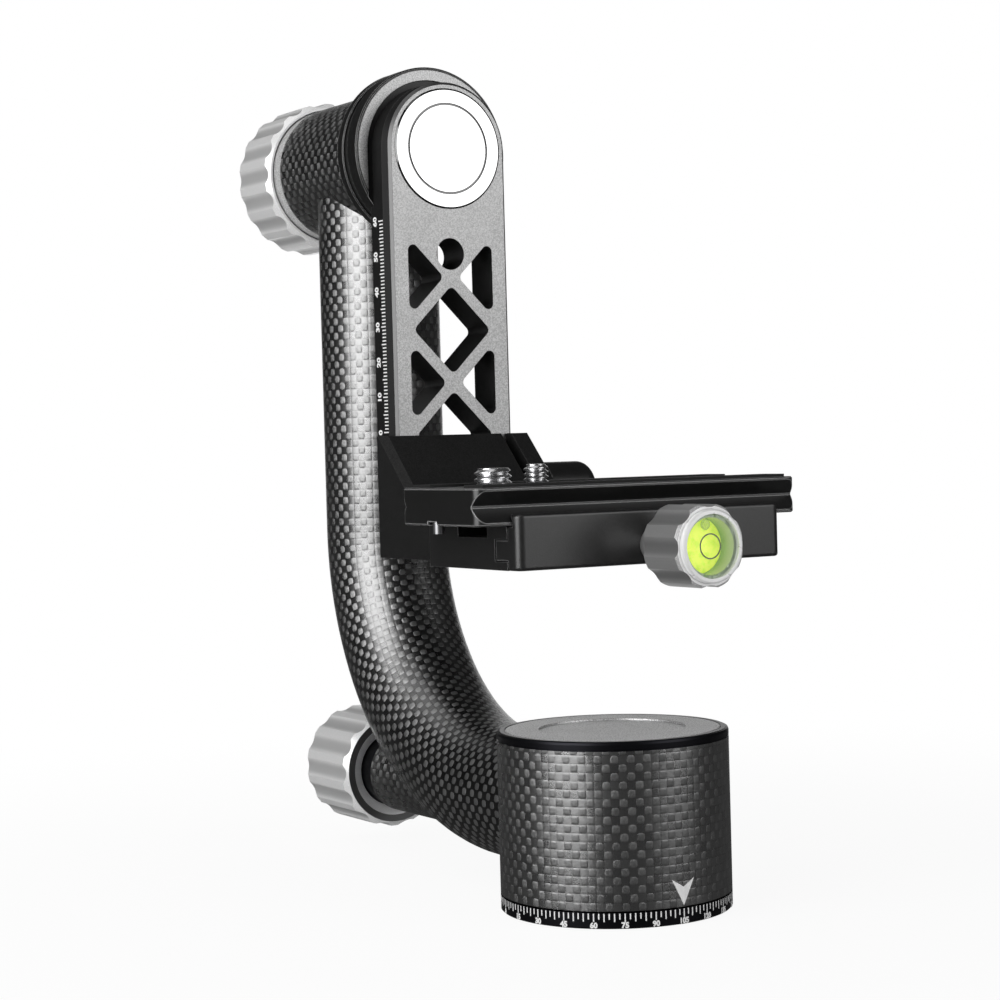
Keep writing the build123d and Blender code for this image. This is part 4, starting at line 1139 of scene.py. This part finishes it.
@dataclass
class Solids:
    """The points and faces of the closed solids that make up one piece.

    Attributes:
        points: The points, in mm.
        faces: The faces, as places in the points.
    """

    points: list[Point] = field(default_factory=list)
    faces: list[Face] = field(default_factory=list)

    def add(self, points: Sequence[Point], faces: Sequence[Face], place: Placer) -> None:
        """Add one solid.

        Args:
            points: Its points, in its own coordinates.
            faces: Its faces.
            place: Turns its coordinates into a point of the part.
        """
        start = len(self.points)
        self.points += [place(*point) for point in points]
        self.faces += [tuple(start + i for i in face) for face in faces]

    def prism(self, outline: Outline, depth: float, place: Placer) -> None:
        """Add a thin prism.

        Args:
            outline: Its corners in its own plane.
            depth: Half its thickness.
            place: Turns a corner and a height above the plane into a point of the part.
        """
        n = len(outline)
        points = [(u, v, w) for w in (-depth, depth) for u, v in outline]
        faces: list[Face] = [tuple(range(n))[::-1], tuple(range(n, 2 * n))]
        faces += [(i, (i + 1) % n, n + (i + 1) % n, n + i) for i in range(n)]
        self.add(points, faces, place)


@dataclass(frozen=True)
class Glyphs:
    """Figures as closed thin solids.

    Attributes:
        height: Height of a figure, in mm.
        depth: Half the thickness of the print, in mm.
        bold: How much the strokes are thickened, in figure heights.
        bends: Steps in each curve of an outline.
    """

    height: float
    depth: float
    bold: float
    bends: int = 3

    def write(self, text: str) -> tuple[list[Point], list[Face]]:
        """One word, centred on its own origin and lying in X and Y.

        Args:
            text: The figures.

        Returns:
            Its points in mm and its faces.
        """
        curve = bpy.data.curves.new("figures", "FONT")
        curve.body = text
        curve.align_x = "CENTER"
        curve.offset = self.bold
        curve.extrude = 1.0
        curve.resolution_u = self.bends
        holder = bpy.data.objects.new("figures", curve)
        mesh = bpy.data.meshes.new_from_object(holder)
        places = [tuple(v.co) for v in mesh.vertices]
        faces = [tuple(p.vertices) for p in mesh.polygons]
        bpy.data.objects.remove(holder)
        bpy.data.curves.remove(curve)
        bpy.data.meshes.remove(mesh)
        low, high = min(y for _, y, _ in places), max(y for _, y, _ in places)
        scale = self.height / (high - low)
        return [(x * scale, (y - (low + high) / 2) * scale, z * self.depth) for x, y, z in places], faces


@dataclass
class Workshop:
    """Makes pieces and dresses the frame's solids.

    Attributes:
        nodes: The frame's solids by name.
        dressed: Names of the solids that have their finish.
    """

    nodes: Mapping[str, bpy.types.Object]
    dressed: set[str] = field(default_factory=set)

    def dress(self, finish: Finish, *names: str) -> None:
        """Give solids of the frame their finish.

        Args:
            finish: The finish.
            names: The solids' names.
        """
        material = finish.material()
        for name in names:
            solid = self.nodes[name]
            if not solid.material_slots:
                solid.data.materials.append(material)
            for slot in solid.material_slots:
                slot.material = material
            self.dressed.add(name)
            LOG.info("dressed %s in %s", name, finish.name)

    def piece(
        self, name: str, solids: Solids, finish: Finish, body: str, slot: str, smooth: bool = False,
    ) -> bpy.types.Object:
        """Make a mesh piece that rides on a body.

        Args:
            name: The piece's name.
            solids: Its points and faces.
            finish: Its finish.
            body: The body that carries it.
            slot: Not used.
            smooth: Whether its faces are shaded smooth.

        Returns:
            The new object.
        """
        mesh = bpy.data.meshes.new(name)
        mesh.from_pydata([Vector(p) * MM for p in solids.points], [], solids.faces)
        mesh.validate()
        tool = bmesh.new()
        tool.from_mesh(mesh)
        bmesh.ops.recalc_face_normals(tool, faces=tool.faces)
        for face in tool.faces:
            face.smooth = smooth
        tool.to_mesh(mesh)
        tool.free()
        mesh.materials.append(finish.material())
        made = stand(name, mesh)
        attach(made, body)
        LOG.info("made %s with %d faces on %s", name, len(mesh.polygons), body)
        return made


# ---- sub-assemblies ------------------------------------------------------------------------------
INK = Ink("marking_ink")
BLACK = Anodised("black_anodised")
STEEL = Turned("turned_steel", (0.50, 0.50, 0.51), 0.32)
BARE = Turned("bare_aluminium", (0.66, 0.66, 0.67), 0.38)
BRASS = Turned("turned_brass", (0.72, 0.52, 0.24), 0.34)
CHROME = Polished("plated_thread", (0.92, 0.92, 0.93), 0.24, 0.08)


@dataclass
class PanBase:
    """The panning base: dial ring, carbon sleeve, rim and cap disc.

    Attributes:
        radius: Radius of the base.
        dial_top: Height of the dial ring.
        step: Degrees between two ticks.
        long_tick: Length of every second tick.
        short_tick: Length of the others.
        tick_width: Width of a tick.
        tick_drop: How far the ticks start below the ring's edge.
        figure: Height of the figures.
        figure_step: Degrees between two figures.
        figure_bold: How much their strokes are thickened.
        figure_z: Height of the figures' middle.
        zero: Angle of the figure 0, from +X.
        raise_by: How far the print stands out.
        arrow_at: Angle of the index arrow, from +X.
        wing: Half the arrow's width.
        tip: Height of its tip.
        top: Height of its wings' ends.
        notch: Height of the notch in its back.
        rows: Strips in each half of the arrow.
    """

    radius: float = 30.0
    dial_top: float = 4.0
    step: float = 2.5
    long_tick: float = 2.05
    short_tick: float = 1.45
    tick_width: float = 0.32
    tick_drop: float = 0.12
    figure: float = 1.55
    figure_step: int = 15
    figure_bold: float = 0.05
    figure_z: float = 0.98
    zero: float = -195.0
    raise_by: float = 0.02
    arrow_at: float = -90.0
    wing: float = 3.35
    tip: float = 4.75
    top: float = 11.35
    notch: float = 9.35
    rows: int = 10

    def build(self, shop: Workshop) -> None:
        """Dress the base and print its dial and arrow.

        Args:
            shop: The workshop.
        """
        shop.dress(BLACK, "base_plate", "top_cap")
        # the sleeve's hoop tows are painted brighter than the arm's: a painted highlight for its weaker lamp
        # band
        shop.dress(CarbonWeave("carbon_sleeve", axial_tone=0.38, hoop_tone=0.40), "base_sleeve")
        disc = Anodised("grey_disc", tone=0.76, metal=0.8, rough=0.46, grain=0.3, bevel=0.15, rub=0.6)
        shop.dress(disc, "top_disc")
        shop.dress(
            STEEL, "thread_bushing", "spindle_screws", "pan_bearing_inner_race", "bearing_outer_races",
            "bearing_balls", "bearing_circlip", "cap_screws",
        )
        shop.dress(BARE, "pan_spindle", "housing_core")
        shop.dress(BRASS, "pan_retaining_nut")
        shop.dress(Rubber("bearing_polymer", 0.05), "pan_thrust_washer")
        self.print_ticks(shop)
        self.print_figures(shop)
        self.print_arrow(shop)

    def print_ticks(self, shop: Workshop) -> None:
        """Ticks that hang from the dial's upper edge all round.

        Args:
            shop: The workshop.
        """
        ticks = Solids()
        half = self.tick_width / 2
        for i in range(round(360 / self.step)):
            length = self.long_tick if i % 2 == 0 else self.short_tick
            place = on_cylinder(self.radius, i * self.step, self.dial_top - self.tick_drop)
            ticks.prism([(-half, -length), (half, -length), (half, 0), (-half, 0)], self.raise_by, place)
        shop.piece("dial_ticks", ticks, INK, "base", "black_anodised")

    def print_figures(self, shop: Workshop) -> None:
        """A figure at every few ticks.

        Args:
            shop: The workshop.
        """
        figures = Solids()
        glyphs = Glyphs(self.figure, self.raise_by, self.figure_bold)
        for value in range(0, 360, self.figure_step):
            figures.add(*glyphs.write(str(value)), on_cylinder(self.radius, value + self.zero, self.figure_z))
        shop.piece("dial_figures", figures, INK, "base", "black_anodised")

    def print_arrow(self, shop: Workshop) -> None:
        """The index arrow at the sleeve's foot, with a notched back.

        Args:
            shop: The workshop.
        """
        arrow = Solids()
        place = on_cylinder(self.radius, self.arrow_at, 0.0)
        widths = [self.wing * i / self.rows for i in range(self.rows + 1)]
        outer, inner = (
            [(u, low + (self.top - low) * i / self.rows) for i, u in enumerate(widths)]
            for low in (self.tip, self.notch)
        )
        for side in (-1, 1):
            for i in range(self.rows):
                corners = [outer[i], outer[i + 1], inner[i + 1], inner[i]]
                if i == self.rows - 1:
                    corners = [outer[i], outer[i + 1], inner[i]]
                strip = [(side * u, v) for u, v in corners]
                arrow.prism(strip if side > 0 else strip[::-1], self.raise_by, place)
        shop.piece("index_arrow", arrow, INK, "housing", "carbon")


@dataclass
class CarbonArm:
    """The bent carbon arm with its stub and neck.

    Attributes:
        around: Tows round the arm.
        stub_around: Tows round the stub.
        hub_around: Tows round the hub.
        cell: Length of a weave cell on the arm and the hub.
        stub_cell: Length of a weave cell on the stub.
    """

    around: int = 54
    stub_around: int = 36
    hub_around: int = 62
    cell: float = 2.12
    stub_cell: float = 2.1

    def build(self, shop: Workshop) -> None:
        """Dress the tubes and what they carry inside.

        Args:
            shop: The workshop.
        """
        stub = CarbonWeave("carbon_stub", WeavePath.STUB, self.stub_around, self.stub_cell, axis_z=PAN_LOCK_Z)
        shop.dress(stub, "stub_tube")
        shop.dress(CarbonWeave("carbon_arm", WeavePath.ARM, self.around, self.cell), "arm_tube")
        shop.dress(CarbonWeave("carbon_hub", WeavePath.HUB, self.hub_around, self.cell), "hub_tube")
        shop.dress(BARE, "arm_base_plug", "arm_top_plug", "hub_core")
        shop.dress(STEEL, "arm_screws")
        shop.dress(BLACK, "stub_bush")


@dataclass
class TiltHub:
    """The tilt hub: flange, friction ring, rotor and bearings.

    Attributes:
        face_back: The rotor's bright face reaches back to this Y.
    """

    face_back: float = 87.0

    def build(self, shop: Workshop) -> None:
        """Dress the stack of discs round the tilt axis.

        Args:
            shop: The workshop.
        """
        disc = Anodised("black_turned", rough=0.36, grain=0.2, bevel=0.24, rub=0.55)
        ring = Anodised("hub_ring_grey", tone=0.52, metal=0.3, rough=0.4, bevel=0.2, rub=0.8)
        shop.dress(disc, "hub_flange", "rotor_disc")
        shop.dress(Rubber("friction_polymer", 0.008), "friction_ring", "tilt_brake_pad", "pan_brake_pad")
        shop.dress(ring, "hub_end_ring")
        shop.dress(TwoTone("rotor_face_grey", self.face_back, face=0.58), "rotor_face")
        shop.dress(STEEL, "flange_screws", "tilt_shaft", "tilt_bearing_inner_races", "rotor_screws")
        shop.dress(BRASS, "tilt_nut")


@dataclass
class SwingRail:
    """The swinging rail with its printed height scale.

    Attributes:
        side_x: The printed side's place in X.
        zero_z: Height of the scale's 0.
        span: Millimetres on the scale.
        tick_front: Front end of every tick, in Y.
        short_tick: Length of a tick.
        middle_tick: Length of a middle tick.
        middle_step: Millimetres from one middle tick to the next.
        tick_width: Width of a tick.
        figure: Height of the figures.
        figure_step: Millimetres from one figure to the next.
        figure_bold: How much their strokes are thickened.
        figure_y: The figures' middle in Y.
        raise_by: How far the print stands out.
        cap_rings: Radii of the painted shade in the axis cap's grooves.
    """

    side_x: float = -19.0
    zero_z: float = 124.5
    span: int = 60
    tick_front: float = 81.55
    short_tick: float = 2.1
    middle_tick: float = 2.7
    middle_step: int = 5
    tick_width: float = 0.36
    figure: float = 2.25
    figure_step: int = 10
    figure_bold: float = 0.045
    figure_y: float = 86.35
    raise_by: float = 0.02
    cap_rings: tuple[float, ...] = (12.7, 16.95)

    def build(self, shop: Workshop) -> None:
        """Dress the rail and its cap, and print the scale.

        Args:
            shop: The workshop.
        """
        shop.dress(TwoTone("rail_two_tone"), "swing_rail")
        shop.dress(Polished("polished_cap", (0.95, 0.95, 0.95), 0.12, 0.1, rings=self.cap_rings), "axis_cap")
        marks = Solids()
        glyphs = Glyphs(self.figure, self.raise_by, self.figure_bold)
        half = self.tick_width / 2
        for value in range(self.span + 1):
            z = self.zero_z + value
            length = self.middle_tick if value % self.middle_step == 0 else self.short_tick
            bar = [(-half, 0.0), (half, 0.0), (half, length), (-half, length)]
            marks.prism(bar, self.raise_by, on_side(self.side_x, self.tick_front, z))
            if value % self.figure_step == 0:
                marks.add(*glyphs.write(str(value)), on_side(self.side_x, self.figure_y, z))
        shop.piece("rail_scale", marks, INK, "swing_arm", "grey_anodised")


@dataclass
class Platform:
    """The sliding platform: bracket, rail jaw, height knob and clamp."""

    def build(self, shop: Workshop) -> None:
        """Dress the platform.

        Args:
            shop: The workshop.
        """
        grainy = Anodised("black_blasted", tone=0.014, rough=0.46, grain=0.9, bevel=0.25, rub=0.06, ior=1.22)
        clamp = Anodised("black_clamp", tone=0.010, rough=0.36, grain=0.3, bevel=0.3, rub=0.08, ior=1.7)
        jaw = Anodised("black_jaw", tone=0.009, rough=0.36, grain=0.3, bevel=0.45, rub=0.26, ior=1.85)
        knob = Anodised("black_knob", rough=0.34, grain=0.25, bevel=0.25, ior=1.6)
        shop.dress(grainy, "platform_bracket", "rail_jaw")
        shop.dress(clamp, "clamp_base")
        shop.dress(jaw, "clamp_jaw")
        shop.dress(knob, "height_knob")
        shop.dress(STEEL, "height_screw", "clamp_screw", "clamp_base_screws")


@dataclass
class Threads:
    """A camera screw with a cut thread.

    Attributes:
        name: The solid that it replaces, which also names the new piece.
        body: The body that carries it.
        x: Its axis in X.
        radius: Its outer radius.
        pitch: The thread's pitch.
        top: Its upper end.
        y: Its axis in Y.
        head: Lower and upper end of its head.
        head_out: How far the head stands out beyond the thread.
        foot_break: Size of the head's lower bevel.
        top_break: Size of the head's upper bevel.
        neck_in: How far the neck is turned in.
        middle: Radius of the pinhole that the lathe leaves.
        plate_top: Height of the plate's top.
        neck_out: How far the neck rises above the plate.
        thread_out: How far above the plate the thread starts.
        form: Places along one pitch and depths there, as a share of the whole depth.
        deep: The thread's depth, as a share of its pitch.
        nose: How far in the thread ends at the top, where it tapers.
        core: How far the taper may go below the root.
        steps: Steps round the screw.
    """

    name: str
    body: str
    x: float
    radius: float
    pitch: float
    top: float
    y: float = 0.65
    head: tuple[float, float] = (100.8, 104.0)
    head_out: float = 1.9
    foot_break: float = 0.5
    top_break: float = 0.4
    neck_in: float = 0.7
    middle: float = 0.02
    plate_top: float = 109.9
    neck_out: float = 0.3
    thread_out: float = 0.1
    form: tuple[tuple[float, float], ...] = ((0.0, 1.0), (0.10, 1.0), (0.46, 0.0), (0.60, 0.0))
    deep: float = 0.58
    nose: float = 0.9
    core: float = 0.2
    steps: int = 48

    def build(self, shop: Workshop) -> None:
        """Turn the head and neck, cut the thread and replace the plain solid.

        Args:
            shop: The workshop.
        """
        (low, high), rim, neck = self.head, self.radius + self.head_out, self.radius - self.neck_in
        neck_top = self.plate_top + self.neck_out
        profile = [
            (self.middle, low), (rim - self.foot_break, low), (rim, low + self.foot_break),
            (rim, high - self.top_break), (rim - self.top_break, high),
            (neck, high), (neck, neck_top), (self.middle, neck_top),
        ]
        made = Solids()
        made.add(*lathe(profile, self.steps), about_z(self.x, self.y))
        made.add(*self.cut_thread(), about_z(self.x, self.y))
        piece = shop.piece(self.name + "_threaded", made, CHROME, self.body, "steel")
        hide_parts(self.name)

    def reach(self, z: float, share: float) -> float:
        """Radius of the thread at a point.

        Args:
            z: The point's height.
            share: How deep it is cut there, as a share of the whole depth.

        Returns:
            The radius, in mm.
        """
        depth = self.pitch * self.deep
        taper = max(self.radius - depth - self.core, self.radius - self.nose + (self.top - z))
        return min(self.radius - depth * share, taper)

    def cut_thread(self) -> tuple[list[Point], list[Face]]:
        """The thread as rows of points that follow the helix, closed by flat ends.

        Returns:
            Its points and faces.
        """
        n, count = self.steps, len(self.form)
        start = self.plate_top + self.thread_out
        turns = math.ceil((self.top - start) / self.pitch) + 1
        tool = bmesh.new()
        rows: list[list[bmesh.types.BMVert]] = []
        for turn in range(-1, turns + 1):
            for part, share in self.form:
                row = []
                for i in range(n):
                    angle, z = TURN * i / n, start + (turn + part + i / n) * self.pitch
                    reach = self.reach(z, share)
                    row.append(tool.verts.new((reach * math.cos(angle), reach * math.sin(angle), z)))
                rows.append(row)
        for k in range(len(rows) - 1):
            for i in range(n - 1):
                tool.faces.new((rows[k][i], rows[k][i + 1], rows[k + 1][i + 1], rows[k + 1][i]))
            if k + 1 + count < len(rows):
                tool.faces.new((rows[k][-1], rows[k + count][0], rows[k + 1 + count][0], rows[k + 1][-1]))
        for height, side in ((start, -1.0), (self.top, 1.0)):
            cut = bmesh.ops.bisect_plane(
                tool, geom=[*tool.verts, *tool.edges, *tool.faces], plane_co=(0, 0, height),
                plane_no=(0, 0, side), clear_outer=True, dist=1e-5,
            )
            rim = [e for e in cut["geom_cut"] if isinstance(e, bmesh.types.BMEdge)]
            bmesh.ops.edgeloop_fill(tool, edges=rim)
        tool.verts.index_update()
        points = [tuple(v.co) for v in tool.verts]
        faces = [tuple(v.index for v in f.verts) for f in tool.faces]
        tool.free()
        return points, faces


@dataclass
class ReleasePlate:
    """The release plate with its rubber strips, pins and camera screws.

    Attributes:
        screws: The two camera screws.
        ribs: Ribs per millimetre on the rubber strips.
    """

    screws: tuple[Threads, ...] = (
        Threads("big_camera_screw", "big_screw", -33.6, 4.76, 1.5875, 114.4),
        Threads("small_camera_screw", "small_screw", -20.8, 3.175, 1.27, 115.1),
    )
    ribs: float = 0.8

    def build(self, shop: Workshop) -> None:
        """Dress the plate and cut the two threads.

        Args:
            shop: The workshop.
        """
        plate = Anodised("black_plate", tone=0.006, rough=0.33, grain=0.3, bevel=0.45, rub=0.55, ior=1.8)
        shop.dress(plate, "release_plate")
        shop.dress(Rubber("pad_rubber", ribs=self.ribs), "plate_pads")
        shop.dress(STEEL, "plate_stop_pins", "big_screw_washer", "small_screw_washer")
        for screw in self.screws:
            screw.build(shop)
            shop.dress(CHROME, screw.name)


@dataclass
class GripKnobs:
    """The three silver grips and their rods.

    Attributes:
        pan_grip: Radius of the pan lock knob's grip.
        clamp_grip: Radius of the clamp knob's grip.
    """

    pan_grip: float = 17.35
    clamp_grip: float = 10.4

    def build(self, shop: Workshop) -> None:
        """Dress the knobs.

        Args:
            shop: The workshop.
        """
        pan = SilverGrip("silver_pan", PAN_LOCK_Z, lip=0.22, lip_metal=1.0, grip=self.pan_grip)
        clamp = SilverGrip(
            "silver_clamp", LEVEL_Z, tone=0.37, metal=0.6, bright=0.84, face_metal=0.6, grip=self.clamp_grip,
        )
        shop.dress(SilverGrip("silver_tilt"), "tilt_lock_knob")
        shop.dress(pan, "pan_lock_knob")
        shop.dress(clamp, "clamp_knob")
        shop.dress(STEEL, "tilt_lock_rod", "pan_lock_rod")


@dataclass
class SpiritLevel:
    """The round spirit level in the clamp knob.

    Attributes:
        axis_z: Height of its axis.
        glass_y: Back of its glass, in Y.
        ring: Radius of the printed ring.
        ring_width: Width of the ring's line.
        ring_depth: Front and back of the ring, behind the glass.
        ring_steps: Steps round the ring.
        bubble: Radius of the bubble.
        bubble_x: The bubble's place in X.
        bubble_up: How far the bubble stands above the axis.
        bubble_depth: Middle of the bubble's depth, behind the glass, and half of that depth.
        bubble_steps: Steps round the bubble.
        profile_steps: Points in the bubble's profile.
        least: Least radius at the bubble's poles.
    """

    axis_z: float = LEVEL_Z
    glass_y: float = -44.8
    ring: float = 3.0
    ring_width: float = 0.34
    ring_depth: tuple[float, float] = (0.03, 0.12)
    ring_steps: int = 64
    bubble: float = 1.35
    bubble_x: float = -0.9
    bubble_up: float = 5.3
    bubble_depth: tuple[float, float] = (0.75, 0.62)
    bubble_steps: int = 32
    profile_steps: int = 16
    least: float = 0.01

    def build(self, shop: Workshop) -> None:
        """Dress cup, glass and bezel, and add ring and bubble.

        Args:
            shop: The workshop.
        """
        shop.dress(VialLiquid("level_lime"), "level_vial")
        shop.dress(Clear("level_glass"), "level_lens")
        shop.dress(Polished("bezel_bright", (0.95, 0.95, 0.95), 0.26, 0.15, 0.3), "level_bezel")
        inner, outer = self.ring - self.ring_width / 2, self.ring + self.ring_width / 2
        front, back = self.ring_depth
        profile = [(inner, front), (outer, front), (outer, back), (inner, back)]
        ring = Solids()
        ring.add(*lathe(profile, self.ring_steps), about_y(0.0, self.glass_y, self.axis_z))
        shop.piece("level_ring", ring, DarkMark("level_ring_print"), "clamp_knob", "vial")
        turns = [math.pi * i / (self.profile_steps - 1) for i in range(self.profile_steps)]
        middle, half = self.bubble_depth
        profile = [(max(self.least, self.bubble * math.sin(t)), middle - half * math.cos(t)) for t in turns]
        bubble = Solids()
        place = about_y(self.bubble_x, self.glass_y, self.axis_z + self.bubble_up)
        bubble.add(*lathe(profile, self.bubble_steps), place)
        shop.piece("level_bubble", bubble, Bubble("level_bubble_air"), "clamp_knob", "vial", smooth=True)


# ---- studio --------------------------------------------------------------------------------------
@dataclass(frozen=True)
class SoftBox:
    """A rectangular lamp.

    Attributes:
        name: Its name.
        at: Its place, in mm.
        to: The point that it faces, in mm.
        size: Its width and height, in metres.
        level: Its brightness, where 1 is white.
    """

    name: str
    at: Point
    to: Point
    size: tuple[float, float]
    level: float

    def hang(self) -> None:
        """Make the lamp, upright and turned to what it lights."""
        data = bpy.data.lights.new(self.name, "AREA")
        data.shape = "RECTANGLE"
        data.size, data.size_y = self.size
        data.energy = self.level * math.pi * self.size[0] * self.size[1]
        away = (Vector(self.at) - Vector(self.to)).normalized()
        side = Vector((0, 0, 1)).cross(away).normalized()
        aim(stand(self.name, data), self.at, side, away.cross(side), away)


@dataclass
class Studio:
    """Floor, lamps, world and camera.

    Attributes:
        eye: The camera's place, in mm.
        right: The image's right.
        up: The image's up.
        lens: Focal length, in mm.
        sensor: Width of the camera's sensor, in mm.
        clip: Nearest and farthest distance that the camera sees, in metres.
        ambient: Level of the light from all round.
        dim: What shiny surfaces see away from the backdrop and the lamps.
        floor_half: Half the floor's side, in metres.
        floor_gap: How far the floor lies below the head, in metres.
        lamps: The soft boxes.
    """

    eye: Point = (-334.795, -500.359, 120.776)
    right: Point = (0.85492604, -0.51803455, -0.02723367)
    up: Point = (0.03607406, 0.00699835, 0.99932461)
    lens: float = 83.836
    sensor: float = 36.0
    clip: tuple[float, float] = (0.01, 50.0)
    ambient: float = 0.34
    dim: float = 0.028
    floor_half: float = 6.0
    floor_gap: float = 0.0002
    lamps: tuple[SoftBox, ...] = (
        SoftBox("key_box", (-690.0, -110.0, 322.0), (0.0, 60.0, 130.0), (0.58, 0.64), 3.4),
        SoftBox("front_box", (570.0, -1060.0, 500.0), (0.0, 40.0, 160.0), (0.75, 0.9), 1.8),
        SoftBox("top_box", (-330.0, 260.0, 1080.0), (0.0, 60.0, 110.0), (0.9, 0.9), 0.7),
    )

    def build(self) -> None:
        """Set up everything that isn't part of the head."""
        self.place_camera()
        self.light_world()
        self.lay_floor()
        for lamp in self.lamps:
            lamp.hang()
        bpy.context.scene.view_settings.view_transform = "Standard"
        LOG.info("studio is set up")

    def place_camera(self) -> None:
        """The camera looks along the cross product of its right and up."""
        data = bpy.data.cameras.new("camera")
        data.lens = self.lens
        data.sensor_width = self.sensor
        data.clip_start, data.clip_end = self.clip
        camera = stand("camera", data)
        right, up = Vector(self.right).normalized(), Vector(self.up).normalized()
        aim(camera, self.eye, right, up, right.cross(up))
        bpy.context.scene.camera = camera

    def light_world(self) -> None:
        """White for the camera and for what shiny pieces see behind the head."""
        world = bpy.data.worlds.new("studio_world")
        bpy.context.scene.world = world
        world.use_nodes = True
        g = Graph(world.node_tree)
        camera, shiny = g.rays()
        toward = g.node("ShaderNodeTexCoord")["Generated"].vec("DOT_PRODUCT", BACKDROP, out=1)
        seen = (camera + shiny * toward.step(*BACKDROP_EDGE)).op("MINIMUM", 1.0)
        level = shiny * (self.dim - self.ambient) + self.ambient
        level = level * (1.0 - seen) + seen
        light = g.node("ShaderNodeBackground", {}, {"Color": WHITE, "Strength": level})[0]
        g.node("ShaderNodeOutputWorld", {}, {"Surface": light})

    def lay_floor(self) -> None:
        """A pale floor that keeps the head's shadow."""
        half = self.floor_half
        corners = [(-half, -half, 0), (half, -half, 0), (half, half, 0), (-half, half, 0)]
        mesh = bpy.data.meshes.new("studio_floor")
        mesh.from_pydata(corners, [], [(0, 1, 2, 3)])
        mesh.materials.append(FloorPaper("floor_paper").material())
        floor = stand("studio_floor", mesh)
        floor.location.z = -self.floor_gap


def main() -> None:
    """Build the studio and every sub-assembly, and log the solids that have no finish."""
    logging.basicConfig(level=logging.INFO, format="%(message)s", stream=sys.stdout)
    Studio().build()
    shop = Workshop(frame["nodes"])
    for assembly in (
        PanBase(), CarbonArm(), TiltHub(), SwingRail(),
        Platform(), ReleasePlate(), GripKnobs(), SpiritLevel(),
    ):
        assembly.build(shop)
        LOG.info("%s is done", type(assembly).__name__)
    left = sorted(set(frame["nodes"]) - shop.dressed)
    LOG.info("solids without a finish: %s", left or "none")


if __name__ == "__main__":
    main()
